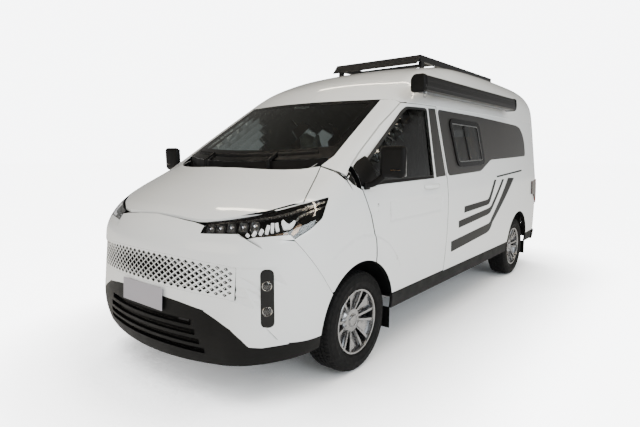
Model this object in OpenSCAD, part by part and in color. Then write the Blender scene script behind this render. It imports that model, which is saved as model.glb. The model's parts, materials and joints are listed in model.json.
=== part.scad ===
// Long-wheelbase high-roof electric camper van.
// X forward, Y left, Z up, origin on the ground under the middle of the box.
// Body tables count x from the front axle; place() moves them to the part frame.

/* [Overall] */
// distance between the axles
wheelbase = 3366; // [3200:1:3500]
// nose ahead of the front axle
front_overhang = 1020; // [980:1:1060]
// tail behind the rear axle
rear_overhang = 978; // [930:1:1040]
// half width of the body at its widest line
half_width = 1015; // [990:1:1040]
// crown of the roof above the road
roof_height = 2345; // [2300:1:2420]

/* [Body surface] */
// bow of the hood and windscreen in plan, per metre squared
bow = 0.18; // [0.1:0.01:0.25]
// fall of the roof and hood from crown to edge
crown = 30; // [15:1:45]
// curve of the nose in plan, per metre squared
nose_curve = 0.24; // [0.15:0.01:0.3]
// radius between nose and flank
corner_r = 300; // [250:1:340]
// radius between tail and flank
tail_r = 160; // [120:1:200]

/* [Panels] */
// outer skins such as fenders and bumper
skin_t = 5; // [4:0.5:7]
// doors
door_t = 55; // [45:1:70]
// fixed side walls and roof
wall_t = 45; // [35:1:60]
// gap around doors and hood
shut_gap = 7; // [6:0.5:9]
// gap between fixed panels
seam = 0.6; // [0.4:0.1:0.9]
// window glass
glass_t = 5; // [4:0.5:6]
// lower edge of doors and side walls
sill_z = 461; // [440:1:480]
// lower edge of the sill cladding
sill_low = 349; // [330:1:365]
// roof joint above the doors, at the drawn roof height
gutter_line = 1862; // [1850:1:1880]
// radius of the wheel openings
arch_r = 410; // [400:1:425]
// height of the centre of the wheel openings
arch_z = 365; // [355:1:375]
// centre of the front opening ahead of the axle
arch_dx = 35; // [25:1:45]

/* [Wheels] */
// tyre radius
tyre_r = 343; // [335:1:350]
// tyre width
tyre_w = 215; // [205:1:225]
// rim edge radius
rim_r = 222; // [215:1:228]
// wheel middle from the centre line
half_track = 858; // [845:1:865]
// steering axis from the centre line
kingpin_y = 790; // [780:1:800]
// hub pilot radius
hub_r = 32; // [28:1:36]
// wheel bolt circle radius
lug_pcr = 65; // [60:1:70]
// play between turning parts
play = 0.4; // [0.3:0.05:0.6]

/* [Doors] */
// front door hinge axis behind the front axle
door_hinge_x = -157; // [-170:1:-150]
// front door hinge axis from the centre line
door_hinge_y = 999; // [997:1:1001]
// hinge pin radius
pin_r = 4; // [3.5:0.25:5]
// hood hinge axis ahead of the front axle
hood_hinge_x = 108; // [100:1:118]
// hood hinge axis above the road
hood_hinge_z = 1398; // [1390:1:1402]
// flank to the rear door opening
rear_post = 225; // [205:1:245]
// rear door top, at the drawn roof height
rear_line = 2150; // [2100:1:2180]

/* [Roof gear] */
// roof rack half width
rack_half = 500; // [450:1:560]
// roof rack length
rack_len = 1950; // [1700:10:2100]
// awning case length
awning_len = 2170; // [2000:10:2400]
// awning case height
awning_h = 125; // [100:1:150]

/* [Hidden] */
$fn = 48;
front_axle_x = (wheelbase + front_overhang + rear_overhang)/2 - front_overhang;
tail = -(wheelbase + rear_overhang);
rear_x = -wheelbase;
axle_z = tyre_r;
dn = front_overhang - 1020;
dy = half_width - 1015;
rear_half = half_width - rear_post;
// heights above the belt line follow the roof: drawn height to real one
belt_z = 1270;
drawn_roof = 2345;
function up(z) = z < belt_z ? z : belt_z + (z - belt_z)*(roof_height - belt_z)/(drawn_roof - belt_z);
function up_all(p) = [for (q = p) [q[0], up(q[1])]];
gutter_z = up(gutter_line);
rear_top = up(rear_line);
frame_z = up(1500);

module place() translate([front_axle_x, 0, 0]) children();
module both() { children(); mirror([0, 1, 0]) children(); }

// smooth curve through a table of [place, value]
function prep(k) = [for (i = [0:len(k) - 1]) let (a = k[max(0, i - 1)], b = k[min(len(k) - 1, i + 1)])
    [k[i][0], k[i][1], (b[1] - a[1])/(b[0] - a[0])]];
function idx(t, k, i = 0) = (i >= len(k) - 2 || t < k[i + 1][0]) ? i : idx(t, k, i + 1);
function herm(t, a, b) = let (h = b[0] - a[0], s = (t - a[0])/h)
    a[1]*(1 + 2*s)*(1 - s)*(1 - s) + a[2]*h*s*(1 - s)*(1 - s) + b[1]*s*s*(3 - 2*s) + b[2]*h*s*s*(s - 1);
function cv(t, k) = let (n = len(k) - 1)
    t < k[0][0] ? k[0][1] + k[0][2]*(t - k[0][0]) :
    t > k[n][0] ? k[n][1] + k[n][2]*(t - k[n][0]) :
    let (i = idx(t, k)) herm(t, k[i], k[i + 1]);
function mix(a, b, t) = a + (b - a)*t;
function clamp(t) = min(1, max(0, t));
function lin(t, k) = lookup(t, k);

// centre line from tail to nose: [x, z]
TOP = prep(up_all([[tail + 44, 2290], [tail + 344, 2325], [tail + 944, 2340], [-2600, 2345], [-2000, 2330],
    [-1600, 2285], [-1300, 2220], [-1000, 2125], [-800, 2043], [-530, 1890], [-100, 1630], [300, 1385],
    [450, 1312], [600, 1243], [800, 1145], [950, 1065], [1100, 975]]));
// front profile from road to hood: [z, x]
FRONT = prep([[150, 930], [250, 985], [420, 1020.3], [600, 1008], [850, 988], [1000, 970], [1100, 948], [1300, 880]]);
// flank section from road to roof: [z, y]
FLANK = prep([[200, 940], [330, 985], [460, 1005], [700, 1013], [950, 1015], [1150, 1006], [1270, 992],
    [up(1600), 955], [up(1870), 925], [up(2100), 893], [up(2400), 850]]);
// shoulder radius along the body: [x, r]
SHOULDER = [[tail, 300], [-1600, 300], [-600, 140], [300, 130], [1000, 120]];

function ztop(x, y) = cv(x + bow*clamp((x + 2600)/2000)*y*y/1000, TOP) - crown*(y/800)*(y/800);
function xfront(y, z) = cv(z, FRONT) + dn - nose_curve*y*y/1000;
function yflank(x, z) = cv(z, FLANK) + dy - 50*pow(clamp((x - 100)/900), 2)
    - 40*pow(clamp((tail + 1744 - x)/1700), 2);
function xtail(y, z) = tail + 20 + 60*y*y/1000000 + 50*pow(clamp((z - 1300)/1000), 2);
function rmax(p, q, r) = (p > -r && q > -r) ? norm([p + r, q + r]) - r : max(p, q);
// signed depth of a point below the body surface
function depth(p) = let (x = p[0], y = abs(p[1]), z = p[2],
    a = (z - ztop(x, y))*mix(0.87, 0.97, clamp((-600 - x)/1000)),
    b = (x - xfront(y, z))*0.93, c = y - yflank(x, z), d = xtail(y, z) - x)
    rmax(rmax(rmax(c, b, corner_r), d, tail_r), a, lin(x, SHOULDER));
function root(o, d, lo, hi, n) = n == 0 ? (lo + hi)/2 : let (m = (lo + hi)/2)
    depth(o + m*d) < 0 ? root(o, d, m, hi, n - 1) : root(o, d, lo, m, n - 1);
// point of the surface seen from o along the unit direction d
function on(o, d) = o + root(o, d, 0, 1500, 21)*d;
function on_side(x, z) = on([x, 0, z], [0, 1, 0]);
function on_top(x, y) = on([x, y, 900], [0, 0, 1]);
function plan(a) = [cos(a), sin(a), 0];
function unit(v) = v/norm(v);

// closed shell between an outer and an inner grid of points
module shell(a, b) {
    nr = len(a);
    nc = len(a[0]);
    n = nr*nc;
    pts = concat([for (r = a, p = r) p], [for (r = b, p = r) p]);
    skin = [for (r = [0:nr - 2], c = [0:nc - 2]) let (i = r*nc + c)
        each [[i, i + 1, i + nc + 1], [i, i + nc + 1, i + nc]]];
    back = [for (f = skin) [f[2] + n, f[1] + n, f[0] + n]];
    rim = concat([for (c = [0:nc - 2]) [c, c + 1]], [for (r = [0:nr - 2]) [r*nc + nc - 1, (r + 1)*nc + nc - 1]],
        [for (c = [nc - 2:-1:0]) [(nr - 1)*nc + c + 1, (nr - 1)*nc + c]],
        [for (r = [nr - 2:-1:0]) [(r + 1)*nc, r*nc]]);
    edge = [for (e = rim) each [[e[1], e[0], e[0] + n], [e[1], e[0] + n, e[1] + n]]];
    polyhedron(points = pts, faces = concat(skin, back, edge), convexity = 8);
}
// panel on the surface from a grid of [origin, direction, outward side], set t deep below an inset
module panel(g, t, inset = 0) {
    s = [for (r = g) [for (q = r) let (p = on(q[0], q[1]), n = len(q) > 2 ? q[2] : q[1])
        [p - inset*n, p - (inset + t)*n]]];
    shell([for (r = s) [for (q = r) q[0]]], [for (r = s) [for (q = r) q[1]]]);
}
function range01(n) = [for (i = [0:n]) i/n];
// polygon with rounded corners
function rounded(p, r, n = 3) = [for (i = [0:len(p) - 1]) let (a = p[(i + len(p) - 1)%len(p)], b = p[i],
    c = p[(i + 1)%len(p)], u = unit(a - b), v = unit(c - b), h = acos(max(-1, min(1, u*v)))/2,
    k = min(r/tan(h), 0.45*min(norm(a - b), norm(c - b))), s = b + k*u, e = b + k*v)
    each [for (t = range01(n)) (1 - t)*(1 - t)*s + 2*t*(1 - t)*b + t*t*e]];
// prism through the left flank from an outline in x and z
module through(p, y0 = 600, y1 = 1200, grow = 0)
    translate([0, y1, 0]) rotate([90, 0, 0]) linear_extrude(y1 - y0) offset(delta = grow) polygon(p);
module arch(x, r = arch_r, y0 = 500) translate([x, y0, arch_z]) rotate([-90, 0, 0]) cylinder(r = r, h = 700, $fn = 96);

// lines of the panels
DOOR_FRONT = [[sill_z, -132], [782, -132], [895, -116], [1070, -61], [1247, 27]];
DOOR_PILLAR = [[1247, 38], [up(1392), 38], [up(1483), -91], [up(1676), -390], [gutter_z, -708]];
DOOR_REAR = [[sill_z, -1235], [730, -1270], [1110, -1290], [up(1280), -1283], [gutter_z, -1159]];
DOOR_WINDOW = rounded(up_all([[-5, 1290], [-5, 1352], [-130, 1443], [-420, 1632], [-640, 1776],
    [-720, 1815], [-975, 1818], [-1020, 1290]]), 22);
COWL = prep([[0, 323], [344, 301], [572, 249], [696, 191], [752, 147]]);
HOOD_NOSE = prep([[0, 872], [225, 866], [441, 841], [584, 780], [708, 699], [810, 598], [893, 483]]);
hood_side = 893;
cowl_side = 752;
function glass_base(y) = 243 - 205*y*y/592900;
function header(y) = -530 - 123*y*y/499849;
function pillar_z(x) = up(lin(x, [[-728, 1873], [-390, 1676], [-91, 1483], [38, 1394], [124, 1325]]));
function pillar_y(x) = mix(770, 707, clamp((38 - x)/691));
CAMPER_WINDOW = rounded(up_all([[-1420, 1745], [-2065, 1735], [-2160, 1390], [-1545, 1380]]), 45, 4);

WHITE = [0.92, 0.93, 0.94];
BLACK = [0.06, 0.06, 0.07];
GREY = [0.3, 0.3, 0.32];
STEEL = [0.55, 0.56, 0.58];
GLASS = [0.2, 0.24, 0.26, 0.5];

// front end

// hood: fan of stations between cowl line and nose line
module hood() color(WHITE) place() {
    panel(hood_grid(8, -1, shut_gap), hood_t);
    both() difference() {
        hull() {
            hood_barrel(hood_hinge_x, hood_hinge_z, 9);
            hood_barrel(262, 1330, 6);
        }
        hood_barrel(hood_hinge_x, hood_hinge_z, pin_r + play, 30);
    }
}
// stations from cowl to nose, from side t0 to the left edge, drawn in by a gap
function hood_grid(n, t0, gap) = [for (s = range01(n)) [for (t = [t0:1/7:1.01]) let (k = abs(t),
    y = t*mix(cowl_side - gap, hood_side - 1.4*gap, s),
    x = mix(cv(cowl_side*k, COWL), cv(hood_side*k, HOOD_NOSE) - gap, s)) [[x, y, 900], [0, 0, 1]]]];
hood_t = 18;
hood_arm_y = 690;
module hood_barrel(x, z, r, w = 6) translate([x, hood_arm_y - w/2, z]) rotate([-90, 0, 0]) cylinder(r = r, h = w);

// sunk tray under the windscreen, with the hood hinge pins and the two wipers
module cowl() color(BLACK) place() {
    ins = [[-26, glass_t + 0.8], [2, glass_t + 0.8], [10, 60], [150, 66]];
    g = [for (q = ins) [for (t = [-1:2/14:1]) let (y = t*735, x = min(glass_base(y) + q[0],
        cv(abs(y), COWL) + 60)) on_top(x, y) - [0, 0, q[1]]]];
    shell(g, [for (r = g) [for (p = r) p - [0, 0, 5]]]);
    both() {
        hood_barrel(hood_hinge_x, hood_hinge_z, pin_r, 30);
        translate([hood_hinge_x - 8, hood_arm_y + 9, 1336]) cube([16, 6, hood_hinge_z - 1328]);
    }
    for (w = [[-640, 40], [40, 640]]) {
        a = [for (s = [0, 1]) [for (t = range01(10)) let (y = mix(w[0], w[1], t),
            x = glass_base(y) - 70 + 16*s) on_top(x, y) + [0, 0, 13]]];
        shell(a, [for (r = a) [for (p = r) p - [0, 0, 12.4]]]);
    }
    for (y = [-330, 350]) {
        translate(on_top(glass_base(y) + 30, y) + [0, 0, -64]) cylinder(r = 11, h = 84);
        hull() {
            translate(on_top(glass_base(y) + 30, y) + [0, 0, 10]) cylinder(r = 10, h = 10);
            translate(on_top(glass_base(y) - 62, y) + [0, 0, 12]) cylinder(r = 7, h = 8);
        }
    }
}

// wing: angle fan at each station between wheel opening or bumper seam and hood seam
FENDER_LOW = [[-128, 700], [300, 640], [356, 640], [622, 993]];
FENDER_TOP = [[-128, 782], [-112, 895], [-57, 1070], [23, 1238], [100, 1270], [120, 1308]];
module fender() {
    xs = [-128, -112, -57, 23, 100, 120, 150, 190, 240, 298, 356, 400, 440, 483, 530, 575, 621];
    g = [for (w = range01(9)) [for (x = xs) let (o = [x, 450, 850], zl = lin(x, FENDER_LOW),
        yl = on_side(x, zl)[1], e = fender_top(x), al = atan2(zl - 850, yl - 450),
        au = atan2(e[2] - 850, e[1] - 450), a = mix(al, au, w))
        [o, [0, cos(a), sin(a)], unit(mix([0, 1, 0], [0, 0, 1], x < 130 ? 0 : w))]]];
    difference() {
        panel(g, skin_t);
        arch(arch_dx);
        lamp_prism(seam/2);
    }
    // corner below the pillar's foot
    intersection() {
        panel([for (z = [1225:45:1405]) [for (x = [60, 95, 130]) [[x, 0, z], [0, 1, 0]]]], skin_t, 0.4);
        through([[75, 1240], [100, 1250], [126, 1290], [112, up(1332)], [75, up(1360)]]);
    }
}
function fender_top(x) = x < 130 ? on_side(x, lin(x, FENDER_TOP)) :
    on_top(x, x < 483 ? mix(cowl_side, hood_side, (x - 147)/336) + 1 : lin(x, [[483, 894], [598, 812], [699, 710]]));
module fender_left() color(WHITE) place() fender();
module fender_right() color(WHITE) place() mirror([0, 1, 0]) fender();

// headlamp outline on the surface, seen along the look direction
LOOK = unit([0.774, 0.62, 0.128]);
LOOK_U = unit(cross([0, 0, 1], LOOK));
LOOK_V = cross(LOOK, LOOK_U);
LAMP = [[841, 447, 1074], [780, 590, 1094], [699, 714, 1120], [598, 816, 1150], [475, 899, 1184], [327, 952, 1211],
    [332, 957, 1202], [435, 990, 1098], [529, 977, 1043], [622, 943, 997], [637, 924, 1023], [808, 742, 1004],
    [815, 692, 1027], [893, 452, 1014]];
module lamp_prism(grow = 0) multmatrix([[LOOK_U[0], LOOK_V[0], LOOK[0], 0], [LOOK_U[1], LOOK_V[1], LOOK[1], 0],
    [LOOK_U[2], LOOK_V[2], LOOK[2], 0], [0, 0, 0, 1]]) translate([0, 0, 500]) linear_extrude(1200)
    offset(delta = grow) polygon([for (p = LAMP) [(p + [dn*clamp((p[0] - 300)/600), 0, 0])*LOOK_U, p*LOOK_V]]);
module headlamp() difference() {
    intersection() {
        panel([for (z = [975, 1010, 1050, 1090, 1130, 1170, 1205, 1222]) [for (a = [84:-6:12])
            [[150, 250, z], plan(a)]]], 60, 1);
        lamp_prism(-seam/2);
    }
    panel(hood_grid(6, 0, -4), hood_t + shut_gap + 2, -6);
}
module headlamps() color(GREY) place() both() headlamp();

// white fascia with the perforated field let in
function fascia_low(k) = lin(k, [[0, 632], [0.25, 612], [0.46, 572], [0.6, 520], [0.68, 450], [0.74, 396], [1, 390]]);
function fascia_top(k) = lin(k, [[0, 1090], [0.3, 1078], [0.46, 1068], [0.55, 1052], [0.8, 1020], [1, 985]]);
BUMPER_SEAM = [[380, 318], [600, 318], [640, 356], [993, 622], [1100, 702]];
function fascia_end(z) = let (x = lin(z, BUMPER_SEAM) + 3.2) atan2(on_side(x, z)[1], x - 100);
function on_front(y, z) = on([0, y, z], [1, 0, 0]);
module front_bumper() color(WHITE) place() {
    difference() {
        panel([for (s = range01(9)) [for (c = [1:-2/22:-1]) let (k = abs(c), z = mix(fascia_low(k), fascia_top(k), s),
            a = c*fascia_end(z)) [[100, 0, z], plan(a)]]], skin_t);
        field_prism(0);
        both() {
            arch(arch_dx);
            lamp_prism(seam/2);
            fog_pill(seam/2);
        }
    }
    grille();
}
// field of holes: half columns and half rows of the lattice, both even
field_nx = 52;
field_ny = 10;
field_half = 716;
function field_z(k, v) = mix(mix(684, 658, k*k), mix(880, 846, k*k), v);
module field_prism(grow) rotate([90, 0, 90]) translate([0, 0, 600]) linear_extrude(600) offset(delta = grow)
    polygon(concat([for (t = [-1:0.125:1]) [t*field_half, field_z(abs(t), 0)]],
    [for (t = [1:-0.125:-1]) [t*field_half, field_z(abs(t), 1)]]));
module grille() {
    e = seam;
    function at(i, j) = let (t = 2*i/field_nx - 1, y = -t*(field_half - e),
        z = mix(field_z(abs(t), 0) + e, field_z(abs(t), 1) - e, j/field_ny)) on_front(y, z);
    nodes = [for (j = [0:field_ny]) [for (i = [0:field_nx]) at(i, j)]];
    cells = [for (j = [1:field_ny - 1], i = [1:field_nx - 1]) if ((i + j)%2 == 1) [i, j]];
    w = field_nx + 1;
    n = w*(field_ny + 1);
    m = len(cells);
    t = 9;
    function size(i, j) = let (u = abs(2*i/field_nx - 1), v = abs(2*j/field_ny - 1)) 0.66*(1 - 0.62*u*u)*(1 - 0.25*v*v);
    hole = [for (c = cells) let (i = c[0], j = c[1], p = (nodes[j][i - 1] + nodes[j][i + 1])/2, k = size(i, j))
        each [for (q = [[i - 1, j], [i, j - 1], [i + 1, j], [i, j + 1]]) mix(p, nodes[q[1]][q[0]], k)]];
    front = concat([for (r = nodes, p = r) p], hole);
    back = [for (p = front) p - [t, 0, 0]];
    h = len(front);
    ring = [for (q = [0:m - 1]) let (i = cells[q][0], j = cells[q][1], b = n + 4*q,
        c = [j*w + i - 1, (j - 1)*w + i, j*w + i + 1, (j + 1)*w + i]) each [for (s = [0:3]) let (s2 = (s + 1)%4)
        each [[c[s2], c[s], b + s], [c[s2], b + s, b + s2]]]];
    half = concat([for (i = [1:2:field_nx - 1]) each [[i + 1, i - 1, w + i],
        [field_ny*w + i - 1, field_ny*w + i + 1, (field_ny - 1)*w + i]]],
        [for (j = [1:2:field_ny - 1]) each [[(j - 1)*w, (j + 1)*w, j*w + 1],
        [(j + 1)*w + w - 1, (j - 1)*w + w - 1, j*w + w - 2]]]);
    skin = concat(ring, half);
    wall = [for (q = [0:m - 1], s = [0:3]) let (a = n + 4*q + s, b = n + 4*q + (s + 1)%4)
        each [[b, a, a + h], [b, a + h, b + h]]];
    rim = concat([for (i = [0:2:field_nx - 2]) [i, i + 2]],
        [for (j = [0:2:field_ny - 2]) [j*w + w - 1, (j + 2)*w + w - 1]],
        [for (i = [field_nx:-2:2]) [field_ny*w + i, field_ny*w + i - 2]],
        [for (j = [field_ny:-2:2]) [j*w, (j - 2)*w]]);
    edge = [for (r = rim) each [[r[0], r[1], r[1] + h], [r[0], r[1] + h, r[0] + h]]];
    all = concat(skin, [for (f = skin) [f[2] + h, f[1] + h, f[0] + h]], wall, edge);
    polyhedron(points = concat(front, back), faces = [for (f = all) [f[2], f[1], f[0]]], convexity = 10);
}

// black lower bumper with the slotted intake
module bumper_lower() color(BLACK) place() difference() {
    panel([for (s = range01(4)) [for (c = [1:-2/22:-1]) let (k = abs(c), top = fascia_low(k) - seam,
        z = mix(mix(236, 330, k*k), top, s), a = c*fascia_end(z)) [[100, 0, z], plan(a)]]], 26);
    for (z = [318, 372, 426, 480]) translate([600, -520 + 0.5*(z - 318), z]) cube([600, 1040 - (z - 318), 34]);
    both() arch(arch_dx);
}
// upright fog lamp pod, its outline a pill seen along its own direction
fog_at = [766, 864, 670];
fog_dir = 40;
module fog_pill(grow, depth = 400) translate(fog_at) rotate([0, 0, fog_dir]) rotate([0, 90, 0]) translate([0, 0, -200])
    linear_extrude(depth) offset(delta = grow) polygon(rounded([[-165, -38], [165, -38], [165, 38], [-165, 38]], 37, 6));
module fog_lamps() color(BLACK) place() both() difference() {
    intersection() {
        panel([for (z = [490:45:850]) [for (a = [62:-3:26]) [[100, 0, z], plan(a)]]], 45, 4);
        fog_pill(-seam/2);
    }
    for (z = [-72, 72]) translate(fog_at + [0, 0, z]) rotate([0, 0, fog_dir]) rotate([0, 90, 0]) translate([0, 0, -14])
        cylinder(r = 29, h = 60);
}
module plate_front() color([0.8, 0.8, 0.84]) place() translate([xfront(0, 601) + seam + 1.3, 0, 601]) rotate([0, -3.6, 0]) {
    translate([2, -220, -70]) cube([3, 440, 140]);
    translate([0, -60, -40]) cube([2.5, 120, 90]);
}

// glass and roof

module windscreen() color(GLASS) place()
    panel([for (s = range01(8)) [for (t = [-1:2/12:1]) let (yb = t*(770 - seam), yt = t*(707 - seam),
        y = mix(yt, yb, s)) [[mix(header(yt) + seam, glass_base(yb), s), y, 900], [0, 0, 1]]]], glass_t);

// roof cap: rings of rays from a line inside, the last ones turned to the rear door frame
ROOF_X = [0, 0.06, 0.13, 0.21, 0.3, 0.42, 0.58, 0.75, 0.88, 1];
function frame_r(a) = pow(pow(abs(cos(a))/rear_half, 6) + pow(abs(sin(a))/(rear_top - frame_z), 6), -1/6);
ROOF_A = let (a = atan2(gutter_z - frame_z, 925)) [for (t = range01(20)) mix(180 - a, a, t)];
roof_end = tail + 420;
function at_gutter(i) = i == 0 || i == len(ROOF_A) - 1;
function roof_ray(i, x) = let (c = cos(ROOF_A[i]), s = sin(ROOF_A[i]))
    at_gutter(i) ? [[x, 0, gutter_z], [0, sign(c), 0]] : [[x, 0, frame_z], [0, c, s]];
// front edge of a ray's column, found on the header line in a few steps
function roof_start(i, x, k) = k == 0 ? x : let (q = roof_ray(i, x))
    roof_start(i, header(abs(on(q[0], q[1])[1])) - seam, k - 1);
// ray turned by a share f from the flank towards the rear door frame
function roof_turned(i, f) = let (q = roof_ray(i, roof_end), a = ROOF_A[i], r = frame_r(a),
    y = at_gutter(i) ? rear_half*q[1][1] : r*cos(a), z = at_gutter(i) ? gutter_z : frame_z + r*sin(a),
    v = unit(on([tail + 700, y, z], [-1, 0, 0]) - q[0])) [q[0], unit(mix(q[1], v, f)), unit(mix(q[1], [-1, 0, 0], f))];
module roof() color(WHITE) place() panel(concat(
    [for (f = [1, 0.8, 0.6, 0.4, 0.2]) [for (i = [0:len(ROOF_A) - 1]) roof_turned(i, f)]],
    [for (k = [len(ROOF_X) - 1:-1:0]) [for (i = [0:len(ROOF_A) - 1])
    roof_ray(i, mix(roof_start(i, -700, 4), roof_end, ROOF_X[k]))]]), wall_t);

// flanks

wall_zs = [sill_z, 520, 620, 780, 960, 1120, up(1280), up(1480), up(1680)];
module body_side(front) {
    cols = concat([for (t = range01(10)) t], [for (a = [12, 24, 36, 48, 58]) 1 + a]);
    difference() {
        panel([for (z = concat(wall_zs, gutter_z - seam)) [for (q = [len(cols) - 1:-1:0])
            let (c = cols[q], w = (c - 1)/58, xs = lin(z, front) - shut_gap/2)
            c <= 1 ? [[mix(xs, tail + 330, c), 0, z], [0, 1, 0]] :
            [[tail + 330, 600, z], plan(90 + mix(0, rear_angle(z), w)), unit(mix([0, 1, 0], [-1, 0, 0], w))]]],
            wall_t);
        arch(rear_x);
        children();
    }
    pillar();
    door_post();
    rear_hinge_body();
}
function rear_angle(z) = let (x = xtail(rear_half, z)) atan2(tail + 330 - x, rear_half - 600) < 0 ? 58 :
    90 - atan2(rear_half + 2 - 600, tail + 330 - x);
// windscreen pillar from the glass edge to the door seam
function pillar_ray(x, w) = let (p = on_top(x, pillar_y(x) + 0.1), z2 = min(pillar_z(x) + shut_gap/2, gutter_z - seam),
    q = on_side(x, z2), o = [x, 500, z2 - 170],
    a = mix(atan2(p[2] - o[2], p[1] - 500), atan2(q[2] - o[2], q[1] - 500), w))
    [o, [0, cos(a), sin(a)], unit(mix([0, 0, 1], [0, 1, 0], w))];
function pillar_end(w, x, k) = k == 0 ? x : pillar_end(w, header(on(pillar_ray(x, w)[0], pillar_ray(x, w)[1])[1]) + seam + 1.9 + 4*w, k - 1);
module pillar() panel([for (s = range01(8)) [for (w = range01(4))
    pillar_ray(mix(pillar_end(w, -690, 4), mix(36, 116, w), s), w)]], 30);
module body_side_left() color(WHITE) place() body_side(DOOR_REAR) through(CAMPER_WINDOW);
// the right flank leaves the sliding door's opening
SLIDE_REAR = [[sill_z, -2430], [gutter_z, -2430]];
module body_side_right() color(WHITE) place() mirror([0, 1, 0]) body_side(SLIDE_REAR) through(REAR_WINDOW);
REAR_WINDOW = rounded(up_all([[-2620, 1735], [-3380, 1722], [-3400, 1400], [-2660, 1390]]), 45, 4);
SLIDE_WINDOW = rounded(up_all([[-1430, 1745], [-2250, 1738], [-2290, 1390], [-1520, 1380]]), 45, 4);
module sliding_door() color(WHITE) place() mirror([0, 1, 0]) difference() {
    panel([for (z = concat(wall_zs, gutter_z - seam)) [for (t = range01(8))
        [[mix(lin(z, SLIDE_REAR) - shut_gap/2 + seam, lin(z, DOOR_REAR) - shut_gap/2, t), 0, z],
        [0, 1, 0]]]], wall_t);
    through(SLIDE_WINDOW);
}
module flank_glass(p, x0, x1) intersection() {
    panel([for (z = [1340:60:1780]) let (z = up(z)) [for (t = range01(6)) [[mix(x0, x1, t), 0, z], [0, 1, 0]]]], 20, -3);
    through(p, grow = -seam/2);
}
module side_windows() color(GLASS) place() {
    flank_glass(CAMPER_WINDOW, -2200, -1380);
    mirror([0, 1, 0]) {
        flank_glass(REAR_WINDOW, -3440, -2580);
        flank_glass(SLIDE_WINDOW, -2330, -1390);
    }
}

// front door with its window frame; hinge barrels ride the front edge
door_hinges = [840, 1090];
function door_front(z) = z < 1250 ? lin(z, DOOR_FRONT) : lin(z, DOOR_PILLAR);
module door_barrel(z, r, h) translate([door_hinge_x, door_hinge_y, z]) cylinder(r = r, h = h);
module door() {
    zs = concat([sill_z + shut_gap, 540, 640, 740, 782, 895, 1070, 1180, 1249, 1251],
        [for (z = [1392, 1483, 1580, 1676, 1770]) up(z)], gutter_z - shut_gap);
    difference() {
        panel([for (z = zs) [for (t = [0, 0.06, 0.15, 0.28, 0.42, 0.56, 0.7, 0.85, 1])
            [[mix(lin(z, DOOR_REAR) + shut_gap/2, door_front(z) - shut_gap, t), 0, z], [0, 1, 0]]]], door_t);
        through(DOOR_WINDOW);
        arch(arch_dx);
        translate([28, 500, arch_z]) rotate([-90, 0, 0]) cylinder(r = liner_r + 7, h = 476, $fn = 96);
        for (z = door_hinges) {
            door_barrel(z - 6, 11, 54);
            translate([door_hinge_x - 12, door_hinge_y - 90, z - 6]) cube([165, 95, 54]);
        }
    }
    for (z = door_hinges) difference() {
        union() {
            door_barrel(z + 12, 8, 16);
            translate([door_hinge_x - 40, door_hinge_y - 22, z + 12]) cube([36, 16, 16]);
        }
        door_barrel(z, pin_r + play, 60);
    }
}
// post inside the door opening, with the hinge arms and pins
module door_post() {
    translate([door_hinge_x - 18, post_y, 815]) cube([194 - door_hinge_x + 18, 8, 410]);
    for (z = door_hinges) {
        door_barrel(z - 2, pin_r, 44);
        for (h = [-2, 30]) {
            door_barrel(z + h, 6, 12);
            translate([door_hinge_x - 5, post_y + 7, z + h]) cube([10, door_hinge_y - post_y - 7, 12]);
        }
    }
}
module door_left() color(WHITE) place() door();
module door_right() color(WHITE) place() mirror([0, 1, 0]) door();
module door_glass() intersection() {
    panel([for (z = [1270:70:1840]) [for (t = range01(9)) [[mix(-1100, 30, t), 0, z], [0, 1, 0]]]], glass_t, 9);
    through(DOOR_WINDOW, grow = -seam/2);
}
module door_glass_left() color(GLASS) place() door_glass();
module door_glass_right() color(GLASS) place() mirror([0, 1, 0]) door_glass();
// mirror: head on a bent arm from the sail corner of the door
mirror_at = [-46, 1165, 1416];
module mirror_head() {
    difference() {
        hull() for (z = [72, -64], y = [-45, 70]) translate(mirror_at + [0, y, z]) scale([0.95, 1, 1])
            sphere(r = 34, $fn = 20);
        translate(mirror_at + [-140, -200, -200]) cube([110, 400, 400]);
    }
    hull() {
        translate(mirror_at + [-4, -40, -66]) sphere(r = 22, $fn = 16);
        translate([-12, on_side(-12, 1272)[1] + 20, 1272]) sphere(r = 18, $fn = 16);
    }
    translate([-42, on_side(-12, 1240)[1] + seam, 1240]) cube([56, 22, 48]);
}
module mirror_left() color(BLACK) place() mirror_head();
module mirror_right() color(BLACK) place() mirror([0, 1, 0]) mirror_head();

// rear doors on outer corner hinges
function rear_top_z(y) = frame_z + (rear_top - frame_z)*pow(max(0, 1 - pow(abs(y)/rear_half, 6)), 1/6);
rear_hinges = [720, 1180, up(1640)];
function rear_axis(z) = xtail(rear_half, z);
hinge_rear = [tail + 40, rear_half + 2];
REAR_WINDOW_Y = rounded(up_all([[110, 1320], [rear_half - 100, 1320], [rear_half - 130, 1820], [110, 1820]]), 60, 4);
module rear_prism(grow = 0) rotate([90, 0, 90]) translate([0, 0, tail - 200]) linear_extrude(900)
    offset(delta = grow) polygon(REAR_WINDOW_Y);
module rear_door() {
    ys = concat([shut_gap/2, 130, 270], [for (d = [380, 250, 140, 60, 25, shut_gap]) rear_half - d]);
    difference() {
        panel([for (s = [0, 0.1, 0.25, 0.4, 0.55, 0.7, 0.82, 0.92, 1]) [for (y = ys)
            let (z = mix(520, rear_top_z(y + shut_gap) - shut_gap, s)) [[tail + 700, y, z], [-1, 0, 0]]]], wall_t);
        rear_prism();
    }
    rear_hinge_door();
}
module rear_door_left() color(WHITE) place() rear_door();
module rear_door_right() color(WHITE) place() mirror([0, 1, 0]) rear_door();
module rear_glass() intersection() {
    panel([for (z = [1300:90:1840]) let (z = up(z)) [for (t = range01(6)) let (y = mix(90, rear_half - 70, t)) [[tail + 700, y, z], [-1, 0, 0]]]], glass_t, 8);
    rear_prism(-seam/2);
}
module rear_glass_left() color(GLASS) place() rear_glass();
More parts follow.
